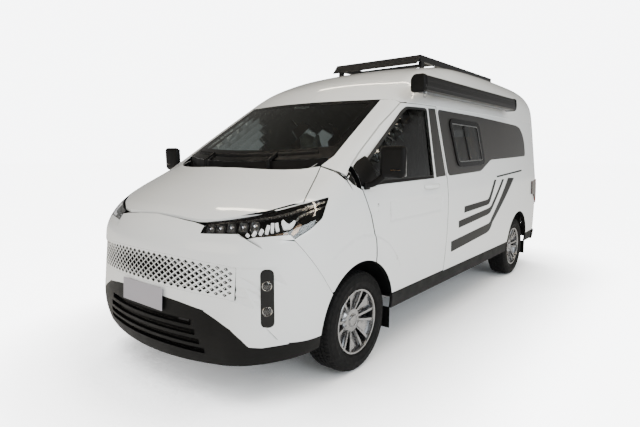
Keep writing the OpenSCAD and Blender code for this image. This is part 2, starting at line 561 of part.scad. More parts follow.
module rear_glass_right() color(GLASS) place() mirror([0, 1, 0]) rear_glass();

// hinge of a rear door: outer knuckles on the body corner, middle one on the door
module rear_knuckle(z0, h, bore = 0) difference() {
    union() {
        translate([hinge_rear[0], hinge_rear[1] + 7, z0]) cylinder(r = 9, h = h);
        children();
    }
    if (bore > 0) translate([hinge_rear[0], hinge_rear[1] + 7, z0 - 5]) cylinder(r = bore, h = h + 10);
}
module rear_hinge_body() for (z = rear_hinges) {
    translate([hinge_rear[0], hinge_rear[1] + 7, z - 26]) cylinder(r = pin_r, h = 52);
    for (s = [-26, 14]) rear_knuckle(z + s, 12) translate([hinge_rear[0] - 5, hinge_rear[1] + 7, z + s]) cube([44, 24, 12]);
}
module rear_hinge_door() for (z = rear_hinges) rear_knuckle(z - 12, 24, pin_r + play)
    {
        translate([hinge_rear[0] - 5, hinge_rear[1] - 60, z - 12]) cube([34, 50, 24]);
        translate([hinge_rear[0] - 5, hinge_rear[1] - 12, z - 12]) cube([12, 17, 24]);
    }

// corner lamps, proud of the skin
module tail_lamp() {
    k = rear_angle(1000)/58;
    cols = [[48*k, 800, 1128], [36*k, 800, 1128], [24*k, 815, 1128], [12*k, 860, 1122], [0, 935, 1114], [-0.5, 945, 1110], [-1, 945, 1110]];
    panel([for (s = range01(3)) [for (c = cols) let (z = mix(c[1], c[2], s)) c[0] < 0 ?
        [[tail + 330 - 110*c[0], 0, z], [0, 1, 0]] : [[tail + 330, 600, z], plan(90 + c[0])]]], 12, -12.9);
}
module tail_lamps() color([0.45, 0.05, 0.05]) place() both() tail_lamp();
bumper_out = 20;
module rear_bumper() color(BLACK) place()
{
    panel([for (z = [335, 380, 430, sill_z - seam]) [for (a = [255:-7.5:105]) [[tail + 500, 0, z], plan(a)]]],
        bumper_out + 15, -bumper_out);
    panel([for (z = [sill_z - 6, 490, 511]) [for (t = [-1:0.1:1]) [[tail + 700, t*780, z], [-1, 0, 0]]]],
        bumper_out + 30, -bumper_out);
}
clad_t = 22;
module cladding(x0, x1, n) panel([for (z = [sill_low, 390, sill_z - seam]) [for (t = range01(n))
    [[mix(x0, x1, t), 0, z], [0, 1, 0]]]], clad_t, -3);
module sill_cladding() color(GREY) place() both() difference() {
    union() {
        cladding(rear_x + 340, -340, 12);
        cladding(tail + 268, rear_x - 340, 4);
    }
    arch(arch_dx);
    arch(rear_x);
}
flap_t = 5;
module mud_flaps() color(BLACK) place() both() for (x = [-386, rear_x - 416])
    translate([x, 800, 190]) linear_extrude(sill_low - seam - 190) polygon([[0, 0], [flap_t, 0], [flap_t, 175], [0, 175]]);

// roof gear

awning_x = -730;
awning_z = up(1932);
awning_y = 985;
module awning() color(BLACK) place() {
    prof = rounded([[-52, 0], [58, 0], [66, 40], [58, awning_h], [-30, awning_h], [-52, awning_h - 30]], 24, 4);
    translate([awning_x - awning_len, awning_y, awning_z]) rotate([90, 0, 90]) {
        linear_extrude(awning_len) polygon(prof);
        for (h = [-14, awning_len - 4]) translate([0, 0, h]) linear_extrude(18) offset(delta = 4) polygon(prof);
    }
    for (x = [-1180, -1900, -2640]) {
        b = [for (z = [up(1950), up(2010)]) [for (h = [-40, 40]) on_side(x + h, z) + [0, 2*seam, 0]]];
        shell([for (r = b) [for (p = r) [p[0], awning_y - 50, p[2]]]], b);
    }
}
rack_x = -1700;
// clearance between rack and roof crown
rack_gap = 7;
rack_z = roof_height + rack_gap;
rack_h = 60;
rack_bolt_x = 520;
rack_bolt_y = 600;
rack_bolt_r = 4.5;
rack_mid = rack_x - rack_len/2;
module roof_rack() color(BLACK) place() {
    rail = 40;
    difference() {
        union() {
            both() translate([rack_x - rack_len, rack_half - rail, rack_z]) cube([rack_len, rail, rack_h]);
            for (t = [0, 0.2, 0.4, 0.6, 0.8, 1]) translate([rack_x - 30 - t*(rack_len - 60) - 25, -rack_half + 1, rack_z + 18])
                cube([50, 2*rack_half - 2, 30]);
            for (s = [-1, 1]) translate([rack_mid + s*rack_bolt_x/2 - 35, -rack_half + 1, rack_z + 26])
                cube([70, 2*rack_half - 2, 28]);
        }
        for (s = [-1, 1], t = [-1, 1]) translate([rack_mid + s*rack_bolt_x/2, t*rack_bolt_y/2, rack_z])
            cylinder(r = rack_bolt_r, h = 100);
    }
    // feet to the roof skin
    for (x = [rack_x - 60, rack_mid, rack_x - rack_len + 60], s = [-1, 1]) let (z = on_top(x, s*(rack_half - 20))[2] + 1.2)
        translate([x - 30, s*(rack_half - 20) - 16, z]) cube([60, 32, rack_z + 5 - z]);
    // front fairing
    rotate([90, 0, 0]) translate([0, 0, -rack_half + 1]) linear_extrude(2*rack_half - 2)
        polygon([[rack_x + 70, up(2318)], [rack_x + 78, up(2318)], [rack_x - 2, rack_z + rack_h],
        [rack_x - 10, rack_z + rack_h], [rack_x - 10, rack_z + 40]]);
}

// cab and living space

// inner face of the door posts
post_y = 780;
floor_top = sill_z - seam;
floor_t = 40;
liner_r = 440;
module floor_pan() color(GREY) place() {
    n = liner_r + seam;
    pts = [[28 - n, 970], [-2600, 970], [rear_x + n, 960], [rear_x + n, 690], [rear_x - n, 690],
        [rear_x - n, 940], [tail + 230, 915], [tail + 125, 800]];
    translate([0, 0, floor_top - floor_t]) linear_extrude(floor_t)
        polygon(concat(pts, [for (i = [len(pts) - 1:-1:0]) [pts[i][0], -pts[i][1]]]));
    both() translate([rear_x + 560, 620, 330]) cube([-rear_x - 1000, 66, floor_top - floor_t - 329]);
    // toe board and bulkhead
    difference() {
        rotate([90, 0, 0]) translate([0, 0, -540]) linear_extrude(1080) polygon([[28 - n - 20, floor_top - 20],
            [28 - n, floor_top - 30], [194, 840], [194, 1220], [186, 1220], [186, 850]]);
        both() translate([-127, 419, 600]) cube([104, 130, 200]);
    }
    translate([186, seam/2 - post_y, 870]) cube([8, 2*post_y - seam, 350]);
}
module liner(y0, y1) difference() {
    translate([0, y0, arch_z]) rotate([-90, 0, 0]) difference() {
        cylinder(r = liner_r, h = y1 - y0, $fn = 96);
        translate([0, 0, -1]) cylinder(r = liner_r - 4, h = y1 - y0 + 2, $fn = 96);
    }
    translate([-600, 0, arch_z - 600]) cube([1200, 1200, 656]);
}
module wheel_liners() color(BLACK) place() both() {
    translate([28, 0, 0]) {
        liner(560, 968);
        translate([-liner_r, 600, floor_top - floor_t + 2]) cube([11, 340, 36]);
    }
    translate([rear_x, 0, 0]) {
        liner(695, 925);
        for (s = [-1, 1]) translate([s*(liner_r - 5.5) - 5.5, 700, floor_top - floor_t + 2]) cube([11, 220, 36]);
        translate([0, 691, 0]) intersection() {
            translate([0, 0, arch_z]) rotate([-90, 0, 0]) cylinder(r = liner_r, h = 5, $fn = 96);
            translate([-600, -1, floor_top - floor_t + 2]) cube([1200, 10, 500]);
        }
    }
}
module battery_pack() color(STEEL) place() translate([-2740, -600, 205]) difference() {
    cube([2170, 1200, floor_top - floor_t - seam - 205]);
    for (x = [350:360:1900]) translate([x, -1, -1]) cube([30, 1202, 13]);
}
module drive_unit() color(STEEL) place() {
    translate([-140, -300, 250 + seam]) cube([420, 600, 312 - seam]);
    translate([80, -260, 550]) cube([340, 520, 130]);
    both() translate([0, 299, axle_z]) rotate([-90, 0, 0]) cylinder(r = 20, h = 431);
}
module seat() {
    translate([-1000, -235, floor_top + seam]) cube([430, 470, 250]);
    translate([-1010, -240, 710]) cube([520, 480, 142]);
    hull() {
        translate([-1030, -235, 850]) cube([140, 470, 20]);
        translate([-1180, -215, 1440]) cube([110, 430, 20]);
    }
    translate([-1170, -60, 1455]) cube([30, 120, 40]);
    hull() {
        translate([-1190, -130, 1490]) cube([90, 260, 20]);
        translate([-1205, -110, 1640]) cube([70, 220, 20]);
    }
}
seat_y = 430;
module seats_front() color([0.2, 0.2, 0.22]) place() for (s = [-1, 1]) translate([0, s*seat_y, 0]) seat();
module dashboard() color(BLACK) place() rotate([90, 0, 0]) translate([0, 0, -720]) linear_extrude(1440)
    polygon([[186 - seam, 950], [186 - seam, 1205], [120, 1262], [-60, 1285], [-200, 1220], [-240, 1120], [-190, 970], [0, 900]]);
column_n = unit([-100, 0, 40]);
module steering_wheel() color(BLACK) place() translate([-220, seat_y, 1170] + seam*column_n) rotate([0, -68.2, 0]) {
    cylinder(r = 28, h = 100);
    translate([0, 0, 95]) rotate_extrude() translate([182, 0]) circle(r = 15);
    translate([0, 0, 85]) cylinder(r = 70, h = 24);
    for (a = [0, 120, 240]) rotate([0, 0, a + 90]) translate([60, -14, 89]) cube([112, 28, 12]);
}
module cabinets() color([0.6, 0.45, 0.3]) place() {
    translate([-2330, 430, floor_top + seam]) cube([880, 480, 700]);
    translate([-2750, 430, floor_top + seam]) cube([400, 470, 1180]);
}
module bench_bed() color([0.5, 0.48, 0.45]) place() {
    translate([tail + 160, -640, floor_top + seam]) cube([-2800 - tail - 160, 1280, 380]);
    translate([tail + 160, -860, 835]) cube([-2800 - tail - 160, 1720, 120]);
}

// running gear; a wheel's axis is local z, its outer side up

module at_left(x) translate([x, half_track, axle_z]) rotate([-90, 0, 0]) children();
module at_wheel(x, s) place() if (s > 0) at_left(x) children(); else mirror([0, 1, 0]) at_left(x) children();
TYRE_HALF = [[rim_r - 6.8, 0], [rim_r - 6.8, 87], [rim_r + 1.5, 87.6], [rim_r + 6, 96], [rim_r + 20, tyre_w/2 - 3],
    [rim_r + 50, tyre_w/2], [tyre_r - 40, tyre_w/2 - 3], [tyre_r - 20, tyre_w/2 - 10], [tyre_r - 7, tyre_w/2 - 22],
    [tyre_r, tyre_w/2 - 40], [tyre_r, 0]];
module tyre() color(BLACK) rotate_extrude($fn = 96)
    polygon(concat(TYRE_HALF, [for (i = [len(TYRE_HALF) - 2:-1:1]) [TYRE_HALF[i][0], -TYRE_HALF[i][1]]]));
spoke_pairs = 6;
module rim() color(STEEL) {
    rotate_extrude($fn = 96) polygon([[rim_r - 20, -92], [rim_r, -92], [rim_r, -88.2], [rim_r - 7.2, -88.2], [rim_r - 7.2, 88.2],
        [rim_r, 88.2], [rim_r, 95], [rim_r - 14, 95], [rim_r - 18, 84], [rim_r - 18, -84]]);
    difference() {
        union() {
            rotate_extrude() polygon([[hub_r + play, 22], [100, 22], [100, 38], [78, 54], [hub_r + play, 54]]);
            translate([0, 0, 46]) cylinder(r1 = 46, r2 = 38, h = 16);
            for (i = [0:spoke_pairs - 1], s = [-1, 1]) rotate([0, 0, i*360/spoke_pairs + s*11]) rotate([90, 0, 0])
                translate([0, 0, -11]) linear_extrude(22)
                polygon([[70, 28], [70, 52], [140, 72], [rim_r - 16, 84], [rim_r - 16, 64], [140, 50]]);
        }
        translate([0, 0, 20]) cylinder(r = hub_r + play, h = 28);
        for (i = [0:5]) rotate([0, 0, (i + 0.5)*60]) translate([lug_pcr, 0, 20]) cylinder(r = 10, h = 60);
    }
}
module tyre_front_left() at_wheel(0, 1) tyre();
module tyre_front_right() at_wheel(0, -1) tyre();
module tyre_rear_left() at_wheel(rear_x, 1) tyre();
module tyre_rear_right() at_wheel(rear_x, -1) tyre();
module rim_front_left() at_wheel(0, 1) rim();
module rim_front_right() at_wheel(0, -1) rim();
module rim_rear_left() at_wheel(rear_x, 1) rim();
module rim_rear_right() at_wheel(rear_x, -1) rim();
module hub() {
    translate([0, 0, -40]) cylinder(r = 60, h = 46);
    cylinder(r = 80, h = 22 - seam);
    cylinder(r = hub_r, h = 40);
}
// steering knuckle with hub, brake disc and caliper; turns about the kingpin
king_r = 14;
module knuckle(s) color(STEEL) at_wheel(0, s) {
    hub();
    translate([0, 0, -26]) cylinder(r = 150, h = 22);
    // the caliper sits behind the axle
    translate([-178, -60, -56]) cube([70, 120, 62]);
    difference() {
        translate([-40, -150, -110]) cube([80, 300, 70]);
        rotate([90, 0, 0]) translate([0, kingpin_y - half_track, -300]) cylinder(r = king_r + play, h = 600);
    }
    translate([-160, 40, -100]) cube([130, 36, 26]);
}
module knuckle_left() knuckle(1);
module knuckle_right() knuckle(-1);
module front_subframe() color(GREY) place() {
    translate([-120, -420, 190]) cube([240, 840, 60]);
    both() {
        // arms, kingpin, spring and its tower
        translate([-40, 400, 165]) cube([80, kingpin_y - 400 + 26, 18]);
        translate([-110, 400, 165]) cube([80, 245, 18]);
        translate([-40, 470, 500]) cube([80, kingpin_y - 470 + 26, 18]);
        translate([0, kingpin_y, 165]) cylinder(r = king_r, h = 350);
        translate([-75, 600, 180]) cylinder(r = 22, h = 330);
        translate([-75, 600, 300]) cylinder(r = 44, h = 390);
        translate([-125, 421, 265]) cube([100, 58, 435]);
        translate([-125, 421, 680]) cube([100, 229, 20]);
        // side member up to the bumper beam
        translate([-110, 420, 200]) cube([900, 60, 70]);
        translate([-540, 440, 200]) cube([440, 40, floor_top - floor_t - seam - 200]);
        translate([700, 420, 200]) cube([90, 60, 290]);
        translate([60, 421, 265]) cube([60, 58, 253]);
        translate([-40, 421, 500]) cube([160, 58, 18]);
        // stay behind the lower bumper
        panel([for (z = [490, 560]) [for (a = [25, 20]) [[100, 0, z], plan(a)]]], 200, 26 + seam);
    }
    translate([740, -620, 480]) cube([50, 1240, 90]);
}
module rear_axle() color(GREY) place() {
    translate([rear_x, -half_track + 40, axle_z]) rotate([-90, 0, 0]) cylinder(r = 36, h = 2*half_track - 80);
    both() {
        translate([rear_x, half_track, axle_z]) rotate([-90, 0, 0]) {
            hub();
            translate([0, 0, -60]) cylinder(r = 140, h = 62);
        }
        // leaf spring, its front eye on the rail and its rear shackle under the floor
        translate([rear_x, 622, 0]) rotate([90, 0, 0]) translate([0, 0, -60]) linear_extrude(60)
            polygon([[-640, 380], [-400, 394], [0, 396], [400, 378], [540, 316], [600, 318], [600, 329.4], [548, 329.4], [400, 390], [0, 410], [-400, 406], [-640, 392]]);
        translate([rear_x - 640, 632, 385]) cube([24, 40, floor_top - floor_t - seam - 385]);
        translate([rear_x - 30, 632, 360]) cube([60, 40, 40]);
    }
}

floor_pan();
wheel_liners();
battery_pack();
drive_unit();
front_subframe();
rear_axle();
knuckle_left();
knuckle_right();
tyre_front_left();
tyre_front_right();
tyre_rear_left();
tyre_rear_right();
rim_front_left();
rim_front_right();
rim_rear_left();
rim_rear_right();
front_bumper();
bumper_lower();
headlamps();
fog_lamps();
plate_front();
hood();
cowl();
fender_left();
fender_right();
windscreen();
roof();
body_side_left();
body_side_right();
sliding_door();
side_windows();
door_left();
door_right();
door_glass_left();
door_glass_right();
mirror_left();
mirror_right();
rear_door_left();
rear_door_right();
rear_glass_left();
rear_glass_right();
tail_lamps();
rear_bumper();
sill_cladding();
mud_flaps();
awning();
roof_rack();
seats_front();
dashboard();
steering_wheel();
cabinets();
bench_bed();
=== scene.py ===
"""Dresses the camper van: paint, glass, lamps, wheels, roof gear and cabin, in a plain pale studio."""

import json
import logging
import math
from dataclasses import dataclass
from enum import Enum
from typing import Callable, Iterable, Sequence

import bmesh
import bpy
import numpy as np
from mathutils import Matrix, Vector

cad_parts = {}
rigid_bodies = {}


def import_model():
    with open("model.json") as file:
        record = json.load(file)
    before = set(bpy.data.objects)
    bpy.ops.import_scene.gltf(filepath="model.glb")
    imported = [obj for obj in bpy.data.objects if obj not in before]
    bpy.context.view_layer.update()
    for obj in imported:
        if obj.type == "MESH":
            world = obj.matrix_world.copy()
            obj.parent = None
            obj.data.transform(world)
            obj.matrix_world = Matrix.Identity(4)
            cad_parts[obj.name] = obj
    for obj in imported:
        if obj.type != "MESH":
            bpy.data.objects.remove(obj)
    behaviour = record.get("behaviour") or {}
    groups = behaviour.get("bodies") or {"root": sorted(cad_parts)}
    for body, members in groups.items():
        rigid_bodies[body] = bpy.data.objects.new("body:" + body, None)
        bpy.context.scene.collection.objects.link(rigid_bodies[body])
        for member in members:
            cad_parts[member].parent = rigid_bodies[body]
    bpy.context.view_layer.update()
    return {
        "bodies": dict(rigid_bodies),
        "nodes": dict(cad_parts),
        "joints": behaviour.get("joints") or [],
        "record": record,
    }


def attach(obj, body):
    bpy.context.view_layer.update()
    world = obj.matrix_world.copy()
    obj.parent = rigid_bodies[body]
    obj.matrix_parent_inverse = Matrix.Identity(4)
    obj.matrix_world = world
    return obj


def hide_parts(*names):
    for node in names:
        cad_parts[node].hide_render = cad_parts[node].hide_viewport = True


LOG = logging.getLogger("camper")
Array = np.ndarray
Loop = Sequence[tuple[float, float]]
Obj = bpy.types.Object
Mat = bpy.types.Material
AXLE_X = 1.662
UP = np.array([0.0, 0.0, 1.0])


class Side(Enum):
    """The two sides of the van, with the sign of y."""

    LEFT = 1
    RIGHT = -1

    @property
    def tag(self) -> str:
        """Name ending of a piece on this side."""
        return self.name.lower()


def clamp01(t: Array) -> Array:
    """Limits values to the range from 0 to 1."""
    return np.clip(t, 0.0, 1.0)


def smoothstep(t: Array) -> Array:
    """Soft step from 0 to 1 over the unit range."""
    t = clamp01(t)
    return t * t * (3 - 2 * t)


def unit(v: Array) -> Array:
    """Vectors scaled to length 1 along the last axis."""
    v = np.asarray(v, float)
    return v / np.maximum(np.linalg.norm(v, axis=-1, keepdims=True), 1e-12)


class Curve:
    """Smooth curve through a table of (place, value)."""

    def __init__(self, table: Iterable[tuple[float, float]]) -> None:
        """Takes the table and works out a slope at each place.

        Args:
            table: places in rising order with their values, in millimetres.
        """
        k = np.array(list(table), float) / 1000
        self.x, self.y = k[:, 0], k[:, 1]
        n = len(k)
        a = np.maximum(np.arange(n) - 1, 0)
        b = np.minimum(np.arange(n) + 1, n - 1)
        self.m = (self.y[b] - self.y[a]) / (self.x[b] - self.x[a])

    def __call__(self, t: Array) -> Array:
        """Value of the curve at each place t, straight beyond both ends."""
        x, y, m = self.x, self.y, self.m
        i = np.clip(np.searchsorted(x, t, side="right") - 1, 0, len(x) - 2)
        h = x[i + 1] - x[i]
        s = (t - x[i]) / h
        v = (y[i] * (1 + 2 * s) * (1 - s) ** 2 + m[i] * h * s * (1 - s) ** 2
             + y[i + 1] * s * s * (3 - 2 * s) + m[i + 1] * h * s * s * (s - 1))
        v = np.where(t < x[0], y[0] + m[0] * (t - x[0]), v)
        return np.where(t > x[-1], y[-1] + m[-1] * (t - x[-1]), v)


class BodySurface:
    """Outer skin of the body by the same rule as the part's source, with the pressings of the panels."""

    tail = -4.344
    top = Curve([(-4300, 2290), (-4000, 2325), (-3400, 2340), (-2600, 2345), (-2000, 2330), (-1600, 2285),
        (-1300, 2220), (-1000, 2125), (-800, 2043), (-530, 1890), (-100, 1630), (300, 1385), (450, 1312), (600, 1243),
        (800, 1145), (950, 1065), (1100, 975)])
    front = Curve([(150, 930), (250, 985), (420, 1020.3), (600, 1008), (850, 988), (1000, 970), (1100, 948),
        (1300, 880)])
    flank = Curve([(200, 940), (330, 985), (460, 1005), (700, 1013), (950, 1015), (1150, 1006), (1270, 992),
        (1600, 955), (1870, 925), (2100, 893), (2400, 850)])
    shoulder = ((-4.344, 0.3), (-1.6, 0.3), (-0.6, 0.14), (0.3, 0.13), (1.0, 0.12))

    @staticmethod
    def _round(p: Array, q: Array, r: Array) -> Array:
        """Larger of two depths with a rounded edge of radius r."""
        edge = np.hypot(np.maximum(p + r, 0), np.maximum(q + r, 0)) - r
        return np.where((p > -r) & (q > -r), edge, np.maximum(p, q))

    def depth(self, p: Array) -> Array:
        """Signed height of points over the plain skin, negative inside."""
        x, y, z = p[..., 0] - AXLE_X, np.abs(p[..., 1]), p[..., 2]
        bowed = x + 0.18 * clamp01((x + 2.6) / 2) * y * y
        a = z - self.top(bowed) + 0.03 * (y / 0.8) ** 2
        a = a * (0.87 + 0.1 * clamp01(-0.6 - x))
        b = 0.93 * (x - self.front(z) + 0.24 * y * y)
        c = (y - self.flank(z) + 0.05 * clamp01((x - 0.1) / 0.9) ** 2
             + 0.04 * clamp01((self.tail + 1.744 - x) / 1.7) ** 2)
        d = self.tail + 0.02 + 0.06 * y * y + 0.05 * clamp01(z - 1.3) ** 2 - x
        s = self._round(self._round(c, b, 0.3), d, 0.16)
        k = np.array(self.shoulder)
        return self._round(s, a, np.interp(x, k[:, 0], k[:, 1]))

    def relief(self, p: Array) -> Array:
        """Height of the pressings over the plain skin: arch flares, door panels, nose step and lamp crease."""
        x, y, z = p[..., 0] - AXLE_X, np.abs(p[..., 1]), p[..., 2]
        flank = smoothstep((y - 0.93) / 0.04)
        # soft crease over the front arch
        r = np.hypot(x - 0.035, z - 0.365)
        angle = np.degrees(np.arctan2(z - 0.365, x - 0.035))
        arc = smoothstep((angle - 40) / 25) * smoothstep((160 - angle) / 25)
        h = 0.006 * flank * arc * (1 - smoothstep((r - 0.566) / 0.018)) * smoothstep((r - 0.4) / 0.12)
        # sunk panel of the door under the handle
        edge = np.minimum(np.minimum(x + 1.17 + 0.25 * (z - 1.0), -0.31 - x),
            np.minimum(z - 0.985, 1.165 + 0.03 * x - z))
        h = h - 0.006 * flank * smoothstep(edge / 0.022)
        # nose: the field and the fog pods lie in a step whose upper edge throws a shadow
        front = smoothstep((x - 0.62) / 0.1)
        line = 0.849 + 0.012 * smoothstep((0.55 - y) / 0.3)
        low = smoothstep((line - z) / 0.014) * (1 - 0.8 * smoothstep((line - 0.03 - z) / 0.24))
        h = h - 0.008 * front * low * smoothstep((y - 0.4) / 0.22) * smoothstep((0.905 - y) / 0.03)
        # short crease under the inner end of the lamp
        t = (y - 0.435) / 0.31
        away = z - (0.976 + 0.022 * t)
        h = h - (0.007 * front * smoothstep(t / 0.25 + 0.2) * smoothstep((1.05 - t) / 0.3)
                 * smoothstep((away + 0.006) / 0.014) * (1 - smoothstep((away - 0.008) / 0.05)))
        return h

    def level(self, p: Array) -> Array:
        """Signed height over the pressed skin."""
        return self.depth(p) - self.relief(p)

    def normal(self, p: Array, pressed: bool = False) -> Array:
        """Outward direction of the skin at points near it."""
        f = self.level if pressed else self.depth
        e = 0.0015 if pressed else 0.003
        g = [f(p + e * np.eye(3)[i]) - f(p - e * np.eye(3)[i]) for i in range(3)]
        return unit(np.stack(g, -1))

    def cast(self, origin: Array, direction: Array) -> Array:
        """Points where rays from inside the body meet the skin."""
        lo = np.zeros(len(origin))
        hi = np.full(len(origin), 1.6)
        for _ in range(26):
            mid = (lo + hi) / 2
            inside = self.depth(origin + mid[:, None] * direction) < 0
            lo, hi = np.where(inside, mid, lo), np.where(inside, hi, mid)
        return origin + hi[:, None] * direction

    def settle(self, p: Array, height: float) -> Array:
        """Moves points along the skin's normal until they stand at a height over the pressed skin."""
        for _ in range(3):
            p = p - (self.level(p) - height)[:, None] * self.normal(p, True)
        return p


SKIN = BodySurface()


class View:
    """A way to lay flat outlines on the skin: each flat point is cast along a ray."""

    @staticmethod
    def side(side: Side) -> Callable[[Array], Array]:
        """Outlines in (x from the front axle, z), cast sideways."""
        def lay(q: Array) -> Array:
            """Casts flat points onto the skin."""
            o = np.stack([q[:, 0] + AXLE_X, np.zeros(len(q)), q[:, 1]], -1)
            return SKIN.cast(o, np.tile([0.0, side.value, 0.0], (len(q), 1)))
        return lay

    @staticmethod
    def top() -> Callable[[Array], Array]:
        """Outlines in (x from the front axle, y), cast upwards."""
        def lay(q: Array) -> Array:
            """Casts flat points onto the skin."""
            o = np.stack([q[:, 0] + AXLE_X, q[:, 1], np.full(len(q), 0.9)], -1)
            return SKIN.cast(o, np.tile(UP, (len(q), 1)))
        return lay

    @staticmethod
    def nose() -> Callable[[Array], Array]:
        """Outlines in (y, z), cast forwards."""
        def lay(q: Array) -> Array:
            """Casts flat points onto the skin."""
            o = np.stack([np.full(len(q), AXLE_X), q[:, 0], q[:, 1]], -1)
            return SKIN.cast(o, np.tile([1.0, 0.0, 0.0], (len(q), 1)))
        return lay

    @staticmethod
    def tail() -> Callable[[Array], Array]:
        """Outlines in (y, z), cast backwards."""
        def lay(q: Array) -> Array:
            """Casts flat points onto the skin."""
            o = np.stack([np.full(len(q), AXLE_X + SKIN.tail + 0.7), q[:, 0], q[:, 1]], -1)
            return SKIN.cast(o, np.tile([-1.0, 0.0, 0.0], (len(q), 1)))
        return lay

    @staticmethod
    def along(look: Array, side: Side) -> Callable[[Array], Array]:
        """Outlines in the plane across a level look direction (across, up), cast along it from the body's middle."""
        look = unit(np.asarray(look, float)) * [1, side.value, 1]
        across = unit(np.cross(UP, look)) * side.value
        up = np.cross(look, across * side.value)

        def lay(q: Array) -> Array:
            """Casts flat points onto the skin."""
            o = q[:, :1] * across + q[:, 1:] * up + [AXLE_X, 0, 0]
            return SKIN.cast(o, np.tile(look, (len(q), 1)))
        return lay


class Forge:
    """Makes meshes."""

    @staticmethod
    def mesh(name: str, verts: Array, faces: Sequence[Sequence[int]], mats: Sequence[Mat],
             normals: Array | None = None, slots: Sequence[int] | None = None, smooth: bool = True) -> Obj:
        """Puts a mesh object into the scene.

        Args:
            name: name of the piece.
            verts: points in the part's frame, metres.
            faces: corner numbers of each face.
            mats: materials of the piece.
            normals: direction for each corner of each face, or None for Blender's own.
            slots: material number of each face.
            smooth: shade smooth.

        Returns:
            The new object.
        """
        me = bpy.data.meshes.new(name)
        me.from_pydata([tuple(v) for v in np.asarray(verts, float)], [], [tuple(int(i) for i in f) for f in faces])
        for m in mats:
            me.materials.append(m)
        if slots is not None:
            me.polygons.foreach_set("material_index", np.asarray(slots, np.int32))
        me.polygons.foreach_set("use_smooth", [smooth] * len(me.polygons))
        me.update()
        if normals is not None:
            me.normals_split_custom_set([tuple(n) for n in normals])
        ob = bpy.data.objects.new(name, me)
        bpy.context.scene.collection.objects.link(ob)
        return ob

    @staticmethod
    def refine(bm: bmesh.types.BMesh, longest: float, wanted: Callable[[bmesh.types.BMEdge],
            bool] | None = None) -> None:
        """Splits edges until none of the wanted ones is longer than the given length."""
        for _ in range(9):
            cut = [e for e in bm.edges if e.calc_length() > longest and (wanted is None or wanted(e))]
            if not cut:
                return
            bmesh.ops.subdivide_edges(bm, edges=cut, cuts=1, use_grid_fill=False)
            bmesh.ops.triangulate(bm, faces=[f for f in bm.faces if len(f.verts) > 3])

    @classmethod
    def fill(cls, loops: Sequence[Loop], longest: float) -> tuple[Array, Array]:
        """Fills an outline, less its holes, with triangles.

        Args:
            loops: the outer outline and then the holes, as flat points.
            longest: longest edge that is left.

        Returns:
            The flat points and the triangles.
        """
        bm = bmesh.new()
        edges = []
        for loop in loops:
            vs = [bm.verts.new((u, v, 0)) for u, v in loop]
            edges += [bm.edges.new((vs[i], vs[(i + 1) % len(vs)])) for i in range(len(vs))]
        bmesh.ops.triangle_fill(bm, use_beauty=True, use_dissolve=False, edges=edges, normal=(0, 0, 1))
        cls.refine(bm, longest)
        bm.verts.ensure_lookup_table()
        bm.verts.index_update()
        pts = np.array([v.co[:2] for v in bm.verts])
        tris = np.array([[v.index for v in f.verts] for f in bm.faces])
        bm.free()
        return pts, tris

    @classmethod
    def skin_patch(cls, name: str, loops: Sequence[Loop], lay: Callable[[Array], Array], low: float, high: float,
                   mat: Mat, longest: float = 0.05, pressed: bool = True) -> Obj:
        """Makes a closed sheet that follows the skin.

        Args:
            name: name of the piece.
            loops: outline and holes, flat.
            lay: casts flat points onto the skin.
            low: height of its inner face over the skin.
            high: height of its outer face.
            mat: its material.
            longest: longest edge of its faces.
            pressed: whether it follows the pressings too.

        Returns:
            The new object.
        """
        q, tris = cls.fill(loops, longest)
        base = lay(q)
        n = SKIN.normal(base, pressed)
        if pressed:
            base = base + SKIN.relief(base)[:, None] * n
        a, b, c = (base[tris[:, i]] for i in range(3))
        flip = np.einsum("ij,ij->i", np.cross(b - a, c - a), n[tris[:, 0]]) < 0
        tris[flip] = tris[flip][:, ::-1]
        m = len(q)
        seen: dict[tuple[int, int], int] = {}
        for t in tris:
            for i in range(3):
                seen[(int(t[i]), int(t[(i + 1) % 3]))] = 1
        rim = [(i, j) for i, j in seen if (j, i) not in seen]
        verts = np.vstack([base + high * n, base + low * n])
        faces = [tuple(t) for t in tris] + [tuple(t[::-1] + m) for t in tris] + [(j, i, i + m, j + m) for i, j in rim]
        out = np.vstack([n[tris].reshape(-1, 3), -n[tris[:, ::-1]].reshape(-1, 3)])
        side = []
        for i, j in rim:
            across = unit(np.cross(verts[j] - verts[i], n[i]))
            side += [across] * 4
        return cls.mesh(name, verts, faces, [mat], np.vstack([out, np.array(side)]))

    @classmethod
    def lathe(cls, name: str, profile: Sequence[tuple[float, float]], centre: Sequence[float], axis: Sequence[float],
              mat: Mat, steps: int = 48, sharp: float = 35.0) -> Obj:
        """Turns a profile of (radius, height) about an axis; a closed profile makes a ring."""
        w = unit(np.array(axis, float))
        u = unit(np.cross(w, [0.3, 0.2, 0.9] if abs(w[2]) < 0.9 else [1.0, 0, 0]))
        v = np.cross(w, u)
        p = np.array(profile, float)
        a = np.linspace(0, 2 * math.pi, steps, endpoint=False)
        ring = np.cos(a)[:, None] * u + np.sin(a)[:, None] * v
        verts = np.array(centre) + p[None, :, :1] * ring[:, None, :] + p[None, :, 1:] * w
        k = len(p)
        closed = np.allclose(p[0], p[-1])
        n = k - 1
        faces = []
        for i in range(steps):
            j = (i + 1) % steps
            for s in range(n):
                faces.append((i * k + s, j * k + s, j * k + s + 1, i * k + s + 1))
        ob = cls.mesh(name, verts.reshape(-1, 3), faces, [mat])
        cls.clean(ob, closed or p[0, 0] < 1e-6, sharp)
        return ob

